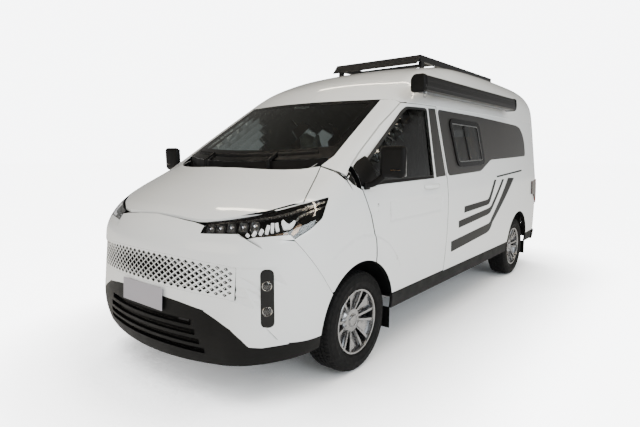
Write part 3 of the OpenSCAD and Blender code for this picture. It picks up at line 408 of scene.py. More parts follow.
    @staticmethod
    def clean(ob: Obj, recalc: bool = True, sharp: float = 35.0) -> Obj:
        """Merges doubles, drops empty faces, turns faces outwards and marks sharp edges."""
        bm = bmesh.new()
        bm.from_mesh(ob.data)
        bmesh.ops.remove_doubles(bm, verts=bm.verts, dist=1e-6)
        bmesh.ops.dissolve_degenerate(bm, edges=bm.edges, dist=1e-7)
        if recalc:
            bmesh.ops.recalc_face_normals(bm, faces=bm.faces)
        for e in bm.edges:
            e.smooth = len(e.link_faces) == 2 and e.calc_face_angle(0) < math.radians(sharp)
        for f in bm.faces:
            f.smooth = True
        bm.to_mesh(ob.data)
        bm.free()
        return ob

    @classmethod
    def block(cls, name: str, lo: Sequence[float], hi: Sequence[float], mat: Mat, bevel: float = 0.004,
              segments: int = 2, shape: Callable[[Array], Array] | None = None) -> Obj:
        """Makes a block with rounded edges, bent by a function of its points."""
        bm = bmesh.new()
        bmesh.ops.create_cube(bm, size=1)
        lo, hi = np.array(lo, float), np.array(hi, float)
        for v in bm.verts:
            v.co = Vector(lo + (np.array(v.co) + 0.5) * (hi - lo))
        bmesh.ops.bevel(bm, geom=list(bm.edges) + list(bm.verts), offset=bevel, segments=segments, profile=0.5,
            affect="EDGES")
        if shape is not None:
            p = shape(np.array([v.co for v in bm.verts]))
            for v, q in zip(bm.verts, p):
                v.co = Vector(q)
        return cls.from_bmesh(name, bm, mat, 40)

    @classmethod
    def from_bmesh(cls, name: str, bm: bmesh.types.BMesh, mat: Mat, sharp: float = 35.0) -> Obj:
        """Puts a bmesh into the scene as a piece and frees it."""
        me = bpy.data.meshes.new(name)
        bm.to_mesh(me)
        bm.free()
        me.materials.append(mat)
        ob = bpy.data.objects.new(name, me)
        bpy.context.scene.collection.objects.link(ob)
        return cls.clean(ob, True, sharp)

    @classmethod
    def sweep(cls, name: str, path: Array, section: Sequence[tuple[float, float]], mat: Mat,
            up: Sequence[float] = (0, 0, 1),
              scale: Array | None = None, sharp: float = 35.0) -> Obj:
        """Carries a closed section (across, up) along a path and closes its ends."""
        path = np.asarray(path, float)
        t = unit(np.gradient(path, axis=0))
        a = unit(np.cross(np.array(up, float), t))
        b = np.cross(t, a)
        s = np.array(section, float)
        k = np.ones(len(path)) if scale is None else np.asarray(scale, float)
        verts = path[:, None] + k[:, None, None] * (s[None, :, :1] * a[:, None] + s[None, :, 1:] * b[:, None])
        n, m = len(path), len(s)
        faces = [(i * m + j, i * m + (j + 1) % m, (i + 1) * m + (j + 1) % m,
            (i + 1) * m + j) for i in range(n - 1) for j in range(m)]
        faces += [tuple(range(m))[::-1], tuple((n - 1) * m + j for j in range(m))]
        ob = cls.mesh(name, verts.reshape(-1, 3), faces, [mat])
        return cls.clean(ob, True, sharp)

    @classmethod
    def join(cls, name: str, parts: Sequence[Obj]) -> Obj:
        """Makes one piece of several."""
        with bpy.context.temp_override(active_object=parts[0], selected_editable_objects=list(parts)):
            bpy.ops.object.join()
        parts[0].name = name
        parts[0].data.name = name
        return parts[0]


class Nodes:
    """Short hand for building one material's node tree."""

    def __init__(self, name: str) -> None:
        """Starts a material with its shader and output."""
        self.mat = bpy.data.materials.new(name)
        self.mat.use_nodes = True
        self.tree = self.mat.node_tree
        self.shader = self.tree.nodes["Principled BSDF"]
        self.place = self.add("ShaderNodeTexCoord").outputs["Object"]

    def add(self, kind: str, **values: object) -> bpy.types.Node:
        """Adds a node; values name its attributes, or its inputs where it has no such attribute."""
        node = self.tree.nodes.new(kind)
        for key, value in values.items():
            if hasattr(node, key):
                setattr(node, key, value)
            else:
                node.inputs[key.replace("_", " ")].default_value = value
        return node

    def join(self, a: bpy.types.NodeSocket, b: bpy.types.NodeSocket) -> None:
        """Links an output to an input."""
        self.tree.links.new(a, b)

    def set(self, **values: object) -> "Nodes":
        """Sets sockets of the shader by name, with spaces as underscores."""
        for key, value in values.items():
            self.shader.inputs[key.replace("_", " ")].default_value = value
        return self

    def noise(self, scale: float, detail: float = 3, stretch: Sequence[float] = (1, 1, 1)) -> bpy.types.NodeSocket:
        """Noise on object coordinates, stretched along the axes."""
        at = self.add("ShaderNodeMapping")
        at.inputs["Scale"].default_value = stretch
        self.join(self.place, at.inputs["Vector"])
        tex = self.add("ShaderNodeTexNoise", Scale=scale, Detail=detail)
        self.join(at.outputs["Vector"], tex.inputs["Vector"])
        return tex.outputs["Fac"]

    def span(self, source: bpy.types.NodeSocket, low: float, high: float, start: float = 0.3,
             end: float = 0.7) -> bpy.types.NodeSocket:
        """Maps a pattern to a range of values."""
        node = self.add("ShaderNodeMapRange")
        for key, value in (("From Min", start), ("From Max", end), ("To Min", low), ("To Max", high)):
            node.inputs[key].default_value = value
        self.join(source, node.inputs["Value"])
        return node.outputs["Result"]

    def tint(self, source: bpy.types.NodeSocket, a: Sequence[float], b: Sequence[float]) -> None:
        """Colours the shader between two colours by a pattern."""
        node = self.add("ShaderNodeMix", data_type="RGBA")
        colour = [s for s in node.inputs if s.type == "RGBA"]
        colour[0].default_value, colour[1].default_value = (*a, 1), (*b, 1)
        self.join(source, node.inputs["Factor"])
        self.join([s for s in node.outputs if s.type == "RGBA"][0], self.shader.inputs["Base Color"])

    def bump(self, source: bpy.types.NodeSocket, strength: float, distance: float) -> None:
        """Raises the surface by a pattern."""
        node = self.add("ShaderNodeBump", Strength=strength, Distance=distance)
        self.join(source, node.inputs["Height"])
        self.join(node.outputs["Normal"], self.shader.inputs["Normal"])


@dataclass(frozen=True)
class Paint:
    """Glossy body paint under clear lacquer, with faint orange peel."""

    name: str
    colour: tuple[float, float, float]
    shade: float = 0.97
    roughness: float = 0.3
    coat: float = 1.0
    gloss: float = 0.5

    def material(self) -> Mat:
        """Builds the paint."""
        n = Nodes(self.name).set(Roughness=self.roughness, Coat_Weight=self.coat, Coat_Roughness=0.03,
            Specular_IOR_Level=self.gloss)
        n.tint(n.noise(1.7, 2), self.colour, tuple(self.shade * c for c in self.colour))
        n.bump(n.noise(170, 1), 0.03, 0.0006)
        return n.mat


@dataclass(frozen=True)
class Plastic:
    """Moulded plastic with a fine grain."""

    name: str
    colour: tuple[float, float, float]
    roughness: float = 0.5
    grain: float = 700
    depth: float = 0.25
    worn: float = 1.25
    gloss: float = 0.3
    # glow: emission that paints light into the colour; only the headlamp fins use it, as a painted highlight
    glow: float = 0.0

    def material(self) -> Mat:
        """Builds the plastic."""
        n = Nodes(self.name).set(Specular_IOR_Level=self.gloss, Emission_Color=(1, 1, 1, 1),
            Emission_Strength=self.glow)
        n.tint(n.noise(5, 4), self.colour, tuple(self.worn * c for c in self.colour))
        n.join(n.span(n.noise(9, 4), self.roughness * 0.9, self.roughness * 1.1), n.shader.inputs["Roughness"])
        n.bump(n.noise(self.grain, 2), self.depth, 0.0006)
        return n.mat


@dataclass(frozen=True)
class Metal:
    """Cast, rolled or plated metal with uneven polish."""

    name: str
    colour: tuple[float, float, float]
    roughness: float = 0.3
    grain: float = 60
    stretch: tuple[float, float, float] = (1, 1, 1)
    metallic: float = 1.0

    def material(self) -> Mat:
        """Builds the metal."""
        n = Nodes(self.name).set(Metallic=self.metallic)
        n.tint(n.noise(12, 4), self.colour, tuple(0.88 * c for c in self.colour))
        n.join(n.span(n.noise(self.grain, 3, self.stretch), self.roughness * 0.75, self.roughness * 1.25),
            n.shader.inputs["Roughness"])
        n.bump(n.noise(self.grain * 6, 2, self.stretch), 0.05, 0.0005)
        return n.mat


@dataclass(frozen=True)
class Rubber:
    """Tyre rubber, darker where it is dry."""

    name: str
    colour: tuple[float, float, float] = (0.014, 0.014, 0.015)
    roughness: float = 0.62
    sheen: float = 0.3

    def material(self) -> Mat:
        """Builds the rubber."""
        n = Nodes(self.name)
        n.set(Specular_IOR_Level=self.sheen)
        n.tint(n.noise(14, 5), self.colour, tuple(2.0 * c for c in self.colour))
        n.join(n.span(n.noise(30, 4), self.roughness * 0.85, self.roughness * 1.15), n.shader.inputs["Roughness"])
        n.bump(n.noise(420, 3), 0.2, 0.0006)
        return n.mat


@dataclass(frozen=True)
class Glass:
    """Clear or tinted pane or lens with a trace of dust."""

    name: str
    colour: tuple[float, float, float]
    roughness: float = 0.015
    ior: float = 1.45

    def material(self) -> Mat:
        """Builds the glass."""
        n = Nodes(self.name).set(Transmission_Weight=1.0, IOR=self.ior)
        n.tint(n.noise(3, 3), self.colour, tuple(0.96 * c for c in self.colour))
        n.join(n.span(n.noise(24, 4), self.roughness, self.roughness * 2), n.shader.inputs["Roughness"])
        return n.mat


@dataclass(frozen=True)
class Cloth:
    """Woven cloth: two crossed threads, with soft sheen."""

    name: str
    colour: tuple[float, float, float]
    thread: float = 900
    weave: float = 0.35
    sheen: float = 0.35

    def material(self) -> Mat:
        """Builds the cloth."""
        n = Nodes(self.name).set(Roughness=0.9, Sheen_Weight=self.sheen, Sheen_Roughness=0.5)
        waves = []
        for axis in "XYZ":
            wave = n.add("ShaderNodeTexWave", bands_direction=axis, Scale=self.thread / 6.28, Distortion=0.6)
            n.join(n.place, wave.inputs["Vector"])
            waves.append(wave.outputs["Fac"])
        total = waves[0]
        for w in waves[1:]:
            node = n.add("ShaderNodeMath", operation="ADD")
            n.join(total, node.inputs[0])
            n.join(w, node.inputs[1])
            total = node.outputs[0]
        n.tint(n.span(n.noise(40, 5), 0, 1), tuple(0.8 * c for c in self.colour), tuple(1.2 * c for c in self.colour))
        n.bump(total, self.weave, 0.0005)
        return n.mat


@dataclass(frozen=True)
class Timber:
    """Veneered board with long grain."""

    name: str
    pale: tuple[float, float, float] = (0.42, 0.27, 0.15)
    dark: tuple[float, float, float] = (0.24, 0.14, 0.07)
    stretch: tuple[float, float, float] = (1, 1, 0.08)

    def material(self) -> Mat:
        """Builds the veneer."""
        n = Nodes(self.name).set(Coat_Weight=0.2, Coat_Roughness=0.2)
        grain = n.noise(28, 6, self.stretch)
        n.tint(n.span(grain, 0, 1), self.dark, self.pale)
        n.join(n.span(n.noise(60, 3), 0.35, 0.5), n.shader.inputs["Roughness"])
        n.bump(grain, 0.1, 0.0008)
        return n.mat


class Palette:
    """All finishes of the van, made once."""

    def __init__(self) -> None:
        """Builds the materials."""
        self.white = Paint("white_lacquer", (0.8, 0.815, 0.83)).material()
        self.charcoal = Paint("charcoal_film", (0.024, 0.0228, 0.0224), 1.2, 0.38, 0.25, 0.3).material()
        self.stripe = Paint("stripe_film", (0.0042, 0.005, 0.0058), 1.2, 0.45, 0.08, 0.15).material()
        self.black = Plastic("black_moulding", (0.0025, 0.0025, 0.0027), 0.5, gloss=0.18).material()
        self.grey = Plastic("grey_cladding", (0.008, 0.0083, 0.009), 0.66, 500, 0.35, gloss=0.2).material()
        self.gloss_black = Paint("gloss_black", (0.0015, 0.0015, 0.0017), 1.2, 0.2, 0.25, 0.2).material()
        self.seal = Rubber("window_seal", (0.012, 0.012, 0.012), 0.55).material()
        self.grey_seal = Rubber("grey_gasket", (0.07, 0.07, 0.07), 0.6).material()
        self.tyre = Rubber("tyre_rubber", (0.004, 0.004, 0.0042), 0.75, 0.2).material()
        self.alloy = Metal("alloy", (0.4, 0.4, 0.41), 0.24, 40).material()
        self.chrome = Metal("chrome", (0.86, 0.86, 0.87), 0.06, 30).material()
        self.satin = Metal("satin_strip", (0.62, 0.61, 0.59), 0.25, 40).material()
        self.bronze = Metal("bronze_strip", (0.33, 0.22, 0.15), 0.3, 60).material()
        # The fins glow faintly: a painted highlight that makes them read brighter than the light on them.
        self.bright = Plastic("bright_fin", (0.86, 0.87, 0.88), 0.18, 200, 0.02, 0.98, glow=0.9).material()
        self.steel = Metal("steel", (0.42, 0.42, 0.43), 0.38, 50).material()
        self.cast = Metal("cast_metal", (0.32, 0.32, 0.33), 0.5, 90, (1, 1, 1), 0.8).material()
        self.chassis = Plastic("chassis_coat", (0.02, 0.02, 0.022), 0.55, 120, 0.4).material()
        self.anodised = Paint("anodised_black", (0.007, 0.007, 0.0075), 1.3, 0.35, 0.15, 0.3).material()
        self.screen = Glass("windscreen_glass", (0.62, 0.68, 0.66)).material()
        self.tinted = Glass("tinted_glass", (0.42, 0.45, 0.45)).material()
        self.dark_glass = Glass("dark_glass", (0.2, 0.2, 0.2)).material()
        self.lens = Glass("clear_lens", (0.97, 0.97, 0.97), 0.01).material()
        self.red = Glass("red_lens", (0.45, 0.01, 0.01), 0.05).material()
        self.amber = Glass("amber_lens", (0.8, 0.25, 0.02), 0.05).material()
        self.plate = Plastic("plate_blank", (0.36, 0.345, 0.385), 0.42, 200, 0.05, 0.97).material()
        self.cloth = Cloth("seat_cloth", (0.045, 0.044, 0.046)).material()
        self.pale_cloth = Cloth("headrest_cover", (0.33, 0.34, 0.33)).material()
        self.mattress = Cloth("mattress_cloth", (0.3, 0.27, 0.23), 700).material()
        self.curtain = Cloth("curtain_cloth", (0.16, 0.105, 0.07), 800).material()
        self.timber = Timber("veneer").material()
        self.lining = Plastic("cabin_lining", (0.16, 0.155, 0.145), 0.8, 300, 0.3, 0.94).material()


@dataclass
class Studio:
    """Floor, soft light and the camera at the photograph's place."""

    eye: tuple[float, float, float] = (4.242, 2.694, 1.481)
    azimuth: float = 218.71
    pitch: float = -7.34
    lens: float = 26.73
    floor_radius: float = 70.0
    daylight: float = 1.25
    backdrop: float = 8.0
    floor_glow: float = 6.4

    def build(self) -> None:
        """Makes the stage, the lights and the camera."""
        self.camera()
        self.floor()
        self.world()
        warm, cool = (1.0, 0.88, 0.7), (0.88, 0.96, 1.0)
        strips = (((1.2, 0.9, 5.4), (0.16, 9.0), 100, (0, 0, 0), warm), ((-2.2, 0.9, 5.4), (0.16, 9.0), 80, (0, 0, 0),
            warm))
        key = ((3.5, 8.5, 4.5), (6.0, 4.0), 420, (-62, 0, -22), cool)
        front = ((9.5, -1.5, 3.2), (6.0, 3.0), 110, (72, 0, 90), warm)
        for i, (at, size, power, turn, colour) in enumerate((*strips, key, front)):
            self.area(f"softbox_{i}", at, size, power, turn, colour)

    def camera(self) -> None:
        """Sets the camera."""
        cam = bpy.data.cameras.new("camera")
        cam.lens, cam.sensor_width, cam.clip_end = self.lens, 36.0, 500
        ob = bpy.data.objects.new("camera", cam)
        bpy.context.scene.collection.objects.link(ob)
        a, p = math.radians(self.azimuth), math.radians(self.pitch)
        look = Vector((math.cos(a) * math.cos(p), math.sin(a) * math.cos(p), math.sin(p)))
        ob.location = self.eye
        ob.rotation_euler = look.to_track_quat("-Z", "Y").to_euler()
        bpy.context.scene.camera = ob

    def floor(self) -> None:
        """Lays the pale floor; its glow, seen only by the camera, is darkened by ambient occlusion near the van as a
        painted contact shadow.
        """
        n = Nodes("studio_floor").set(Roughness=0.85, Specular_IOR_Level=0.1, Emission_Color=(0.93, 0.945, 0.97, 1))
        path, glow = n.add("ShaderNodeLightPath"), n.add("ShaderNodeMath", operation="MULTIPLY")
        n.join(path.outputs["Is Camera Ray"], glow.inputs[0])
        glow.inputs[1].default_value = self.floor_glow
        # Painted contact shadow: ambient occlusion, raised to the power 3.4, darkens the floor's glow under and around
        # the van.
        near, dark = (n.add("ShaderNodeAmbientOcclusion", samples=8, Distance=1.2),
                      n.add("ShaderNodeMath", operation="POWER"))
        n.join(near.outputs["AO"], dark.inputs[0])
        dark.inputs[1].default_value = 3.4
        glow_with_painted_shadow = n.add("ShaderNodeMath", operation="MULTIPLY")
        n.join(glow.outputs[0], glow_with_painted_shadow.inputs[0])
        n.join(dark.outputs[0], glow_with_painted_shadow.inputs[1])
        n.join(glow_with_painted_shadow.outputs[0], n.shader.inputs["Emission Strength"])
        n.tint(n.noise(0.5, 2), (0.86, 0.865, 0.875), (0.84, 0.845, 0.855))
        a = np.linspace(0, 2 * math.pi, 96, endpoint=False)
        ring = np.stack([self.floor_radius * np.cos(a), self.floor_radius * np.sin(a), np.zeros(96)], -1)
        Forge.mesh("floor", ring, [tuple(range(96))], [n.mat])

    def world(self) -> None:
        """Sets the sky: pale behind the object, bright and soft as light, and dimmer and warmer in reflections."""
        world = bpy.data.worlds.new("studio")
        bpy.context.scene.world = world
        world.use_nodes = True
        tree = world.node_tree
        new, link = tree.nodes.new, tree.links.new
        coord, split, path = new("ShaderNodeTexCoord"), new("ShaderNodeSeparateXYZ"), new("ShaderNodeLightPath")
        link(coord.outputs["Generated"], split.inputs[0])

        def sky(stops: Sequence[tuple[float, tuple[float, float, float]]], strength: float) -> bpy.types.NodeSocket:
            """Makes one sky from its colour stops by height."""
            ramp, back = new("ShaderNodeValToRGB"), new("ShaderNodeBackground")
            link(split.outputs["Z"], ramp.inputs[0])
            first, last = ramp.color_ramp.elements
            first.position, first.color = stops[0][0], (*stops[0][1], 1)
            last.position, last.color = stops[-1][0], (*stops[-1][1], 1)
            for at, colour in stops[1:-1]:
                ramp.color_ramp.elements.new(at).color = (*colour, 1)
            link(ramp.outputs["Color"], back.inputs["Color"])
            back.inputs["Strength"].default_value = strength
            return back.outputs[0]

        light = sky(((0.0, (0.86, 0.94, 0.98)), (0.25, (0.88, 0.92, 0.95)), (1.0, (0.92, 0.82, 0.66))), self.daylight)
        seen = sky(((0.0, (0.5, 0.5, 0.5)), (0.1, (0.3, 0.3, 0.295)), (0.32, (0.13, 0.125, 0.115)),
            (1.0, (0.1, 0.095, 0.085))), 1.0)
        pale = sky(((0.0, (0.885, 0.895, 0.915)), (1.0, (0.885, 0.895, 0.915))), self.backdrop)
        mirrored, direct = new("ShaderNodeMixShader"), new("ShaderNodeMixShader")
        link(path.outputs["Is Glossy Ray"], mirrored.inputs[0])
        link(light, mirrored.inputs[1])
        link(seen, mirrored.inputs[2])
        link(path.outputs["Is Camera Ray"], direct.inputs[0])
        link(mirrored.outputs[0], direct.inputs[1])
        link(pale, direct.inputs[2])
        link(direct.outputs[0], tree.nodes["World Output"].inputs["Surface"])

    @staticmethod
    def area(name: str, at: Sequence[float], size: Sequence[float], power: float, turn: Sequence[float],
             colour: Sequence[float]) -> None:
        """Hangs a softbox, turned from facing down."""
        light = bpy.data.lights.new(name, "AREA")
        light.color = colour
        light.shape, light.size, light.size_y, light.energy = "RECTANGLE", size[0], size[1], power
        ob = bpy.data.objects.new(name, light)
        ob.location = at
        ob.rotation_euler = [math.radians(t) for t in turn]
        bpy.context.scene.collection.objects.link(ob)


class Piece:
    """Fastens finished pieces to bodies of the part."""

    @staticmethod
    def on(ob: Obj, body: str, slot: str, *stands_for: str) -> Obj:
        """Lets a piece ride on a body.

        Args:
            ob: the finished piece.
            body: body that carries it.
            slot: material slot of the record; not used.
            stands_for: nodes that it replaces.

        Returns:
            The piece.
        """
        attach(ob, body)
        if stands_for:
            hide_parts(*stands_for)
        LOG.info("%s rides on %s", ob.name, body)
        return ob

    @staticmethod
    def dress(node: Obj, mat: Mat) -> None:
        """Gives a node of the part its material and softens its edges."""
        node.data.materials.clear()
        node.data.materials.append(mat)
        weld = node.modifiers.new("weld", "WELD")
        weld.merge_threshold = 2e-5
        soft = node.modifiers.new("soft_edges", "BEVEL")
        soft.width, soft.segments, soft.limit_method, soft.angle_limit = 0.0015, 2, "ANGLE", math.radians(40)
        soft.use_clamp_overlap, soft.harden_normals = True, False


@dataclass
class SkinPanel:
    """A body panel of the part, drawn finer: its outer face is laid on the pressed skin with true normals."""

    node: str
    body: str
    outer: Mat
    inner: Mat
    slot: str = "white_paint"
    height: float = 0.0
    longest: float = 0.045
    reach: float = 0.0037
    # Material of the side walls; black on the body panels, as painted shade in the gaps.
    edge: Mat | None = None

    def build(self, source: Obj) -> Obj:
        """Copies the node's mesh, refines its outer face and settles it on the skin.

        Args:
            source: the node's object.

        Returns:
            The piece that stands for the node.
        """
        bm = bmesh.new()
        bm.from_mesh(source.data)
        bmesh.ops.remove_doubles(bm, verts=bm.verts, dist=2e-5)
        bmesh.ops.triangulate(bm, faces=bm.faces)
        bm.normal_update()
        on_skin = bm.verts.layers.int.new("on_skin")
        start = np.array([v.co for v in bm.verts])
        out = SKIN.normal(start)
        for v, off, way in zip(bm.verts, np.abs(SKIN.depth(start) - self.height), out):
            v[on_skin] = bool(off < 2 * self.reach) and any(f.normal.dot(Vector(way)) > 0.7 for f in v.link_faces)
        for _ in range(8):
            cut = [e for e in bm.edges
                   if e.verts[0][on_skin] and e.verts[1][on_skin] and e.calc_length() > self.longest]
            if not cut:
                break
            made = bmesh.ops.subdivide_edges(bm, edges=cut, cuts=1)["geom_inner"]
            for v in made:
                if isinstance(v, bmesh.types.BMVert):
                    v[on_skin] = 1
            bmesh.ops.triangulate(bm, faces=[f for f in bm.faces if len(f.verts) > 3])
        bm.verts.index_update()
        p = np.array([v.co for v in bm.verts])
        mask = np.array([v[on_skin] for v in bm.verts], bool)
        tris = np.array([[v.index for v in f.verts] for f in bm.faces])
        bm.free()
        inner = ~mask & (np.abs(SKIN.depth(p)) < 0.07)
        p[inner] += SKIN.relief(p[inner])[:, None] * SKIN.normal(p[inner])
        p[mask] = SKIN.settle(p[mask], self.height)
        soft = SKIN.normal(p, True)
        flat = unit(np.cross(p[tris[:, 1]] - p[tris[:, 0]], p[tris[:, 2]] - p[tris[:, 0]]))
        facing = np.einsum("ij,ij->i", flat, soft[tris].mean(1))
        outer = mask[tris].all(1) & (facing > 0.6)
        normals = np.where(outer[:, None, None], soft[tris], flat[:, None, :])
        slots = np.where(facing < -0.5, 1, 0)
        # Faces across the skin, the panel's edges and hole walls, take the edge material; black there is painted shade
        # in the gaps.
        if self.edge is not None:
            slots[np.abs(facing) < 0.5] = 2
        mats = [self.outer, self.inner] + ([self.edge] if self.edge is not None else [])
        ob = Forge.mesh(f"{self.node}_skin", p, tris, mats, normals.reshape(-1, 3), slots)
        return Piece.on(ob, self.body, self.slot, self.node)


def circle(u: float, v: float, r: float, n: int = 40) -> list[tuple[float, float]]:
    """Flat circle."""
    return [(u + r * math.cos(2 * math.pi * i / n), v + r * math.sin(2 * math.pi * i / n)) for i in range(n)]


def rounded(points: Loop, radius: float, steps: int = 5) -> list[tuple[float, float]]:
    """Rounds the corners of a flat outline.

    Args:
        points: the corners in order.
        radius: how far from each corner the curve starts.
        steps: points on each curve.

    Returns:
        The rounded outline.
    """
    p = np.array(points, float)
    out = []
    for i in range(len(p)):
        a, b, c = p[i - 1], p[i], p[(i + 1) % len(p)]
        ra = min(radius, 0.45 * np.linalg.norm(a - b))
        rc = min(radius, 0.45 * np.linalg.norm(c - b))
        s, e = b + unit(a - b) * ra, b + unit(c - b) * rc
        for t in np.linspace(0, 1, steps + 1):
            out.append(tuple((1 - t) ** 2 * s + 2 * t * (1 - t) * b + t * t * e))
    return out


def grown(points: Loop, d: float) -> list[tuple[float, float]]:
    """Moves an outline outwards by d, or inwards where d is negative."""
    p = np.array(points, float)
    t = unit(np.roll(p, -1, 0) - np.roll(p, 1, 0))
    n = np.stack([t[:, 1], -t[:, 0]], -1)
    area = 0.5 * np.sum(p[:, 0] * np.roll(p[:, 1], -1) - np.roll(p[:, 0], -1) * p[:, 1])
    return [tuple(q) for q in p + (d if area > 0 else -d) * n]


def ribbon(path: Loop, widths: Sequence[float]) -> list[tuple[float, float]]:
    """Outline of a band along a flat path with a width at each point."""
    p = np.array(path, float)
    t = unit(np.gradient(p, axis=0))
    n = np.stack([-t[:, 1], t[:, 0]], -1)
    w = np.array(widths, float)[:, None] / 2
    return [tuple(q) for q in np.vstack([p + n * w, (p - n * w)[::-1]])]


@dataclass
class BodyShell:
    """The painted panels, whose side walls are black as painted shade so that their gaps and holes read dark, and the
    seams and handles on them.
    """

    paint: Palette
    nodes: dict[str, Obj]
    handle_x: tuple[float, float] = (-1.085, -0.845)
    handle_z: float = 1.208

    def build(self) -> None:
        """Lays all panels on the skin and adds their small parts."""
        p = self.paint
        panels = [("hood", "hood", 0.05), ("front_bumper", "van", 0.018), ("fender_left", "van", 0.03),
            ("fender_right", "van", 0.03), ("roof", "van", 0.06), ("body_side_left", "van", 0.05),
            ("body_side_right", "van", 0.05), ("sliding_door", "van", 0.05), ("door_left", "door_left", 0.03),
            ("door_right", "door_right", 0.03), ("rear_door_left", "rear_door_left", 0.05),
            ("rear_door_right", "rear_door_right", 0.05)]
        for node, body, longest in panels:
            # The black edge paints shade onto each panel's side walls, so gaps between panels and hole walls read dark.
            SkinPanel(node, body, p.white, p.lining, longest=longest, edge=p.black).build(self.nodes[node])
        apron = [(0.138, 0.748), (0.03, 0.768), (0.045, 0.8), (0.085, 0.87), (0.11, 0.925), (0.125, 0.905),
            (0.138, 0.86)]
        for side in Side:
            foot = Forge.skin_patch(f"pillar_apron_{side.tag}", [[(x, side.value * y) for x, y in apron]], View.top(),
                -0.003, 0.0005, p.white, 0.02)
            Piece.on(foot, "van", "white_paint")
            self.inner_arch(side)
            self.handle(f"door_handle_{side.tag}", f"door_{side.tag}", side, self.handle_x, self.handle_z)
        self.handle("sliding_door_handle", "van", Side.RIGHT, (-1.62, -1.38), self.handle_z)
        self.rear_handle()
        self.gutter()

    def inner_arch(self, side: Side, radius: float = 0.452, low: float = 0.4) -> None:
        """Closes the inboard side of a front arch with a thin wall.

        Args:
            side: side of the van.
            radius: radius of the wall about the arch's middle.
            low: height of its lower edge.
        """
        x, z, face, thick, count = AXLE_X + 0.028, 0.365, 0.552, 0.004, 33
        start = math.asin((low - z) / radius)
        angles = np.linspace(start, math.pi - start, count)
        edge = np.stack([x + radius * np.cos(angles), np.full(count, side.value * face), z + radius * np.sin(angles)],
            -1)
        verts = np.vstack([edge, edge - [0, side.value * thick, 0]])
        ring = range(count)
        faces = [tuple(ring)[::-1], tuple(i + count for i in ring)] + [(i, (i + 1) % count, (i + 1) % count + count,
            i + count) for i in ring]
        if side is Side.RIGHT:
            faces = [f[::-1] for f in faces]
        wall = Forge.mesh(f"inner_arch_{side.tag}", verts, faces, [self.paint.black], smooth=False)
        Piece.on(wall, "van", "black_plastic")

    def handle(self, name: str, body: str, side: Side, xs: tuple[float, float], z: float) -> None:
        """Makes a pull handle over its cup: a bowed grip on two feet.

        Args:
            name: name of the piece.
            body: body that carries it.
            side: side of the van.
            xs: its ends.
            z: its height.
        """
        x0, x1 = xs
        mid, half = (x0 + x1) / 2, (x1 - x0) / 2
        cup = rounded([(mid - half * 0.62, z - 0.026), (mid + half * 0.62, z - 0.026), (mid + half * 0.62, z + 0.026),
            (mid - half * 0.62, z + 0.026)], 0.024)
        dish = Forge.skin_patch(f"{name}_cup", [cup], View.side(side), 0.0004, 0.0012, self.paint.white, 0.02)
        Piece.on(dish, body, "white_paint")
        t = np.linspace(-1, 1, 25)
        flat = np.stack([mid + half * t, np.full(25, z)], -1)
        base = View.side(side)(flat)
        n = SKIN.normal(base)
        rise = 0.006 + 0.03 * (1 - t ** 4)
        path = base + n * rise[:, None]
        a = np.linspace(0, 2 * math.pi, 16, endpoint=False)
        section = [(0.01 * math.cos(v), 0.019 * math.sin(v)) for v in a]
        scale = 0.65 + 0.35 * (1 - t ** 4)
        grip = Forge.sweep(name, path, section, self.paint.white, scale=scale)
        Piece.on(grip, body, "white_paint")

    def rear_handle(self) -> None:
        """Makes the grip and the bare plate recess of the rear doors."""
        lay = View.tail()
        for side, half in ((Side.LEFT, 1), (Side.RIGHT, -1)):
            body = f"rear_door_{side.tag}"
            frame = rounded([(half * 0.05, 0.74), (half * 0.6, 0.74), (half * 0.6, 0.93), (half * 0.05, 0.93)], 0.03)
            inner = grown(frame, -0.022)
            rim = Forge.skin_patch(f"rear_panel_frame_{side.tag}", [frame, inner], lay, 0.0003, 0.007,
                self.paint.white, 0.03)
            Piece.on(rim, body, "white_paint")
        grip = Forge.skin_patch("rear_grip", [rounded([(0.03, 1.02), (0.24, 1.02), (0.24, 1.075), (0.03, 1.075)],
            0.02)], lay, 0.0003, 0.024, self.paint.black, 0.02)
        Piece.on(grip, "rear_door_left", "black_plastic")

    def gutter(self) -> None:
        """Runs the rain strip along the joint of roof and flank."""
        for side in Side:
            x = np.linspace(-4.02, -0.76, 60)
            base = View.side(side)(np.stack([x, np.full(60, 1.8625)], -1))
            path = base + SKIN.normal(base) * 0.0015
            section = [(0.003 * math.cos(a), 0.005 * math.sin(a)) for a in np.linspace(0, 2 * math.pi, 10,
                endpoint=False)]
            strip = Forge.sweep(f"gutter_strip_{side.tag}", path, section, self.paint.white)
            Piece.on(strip, "van", "white_paint")


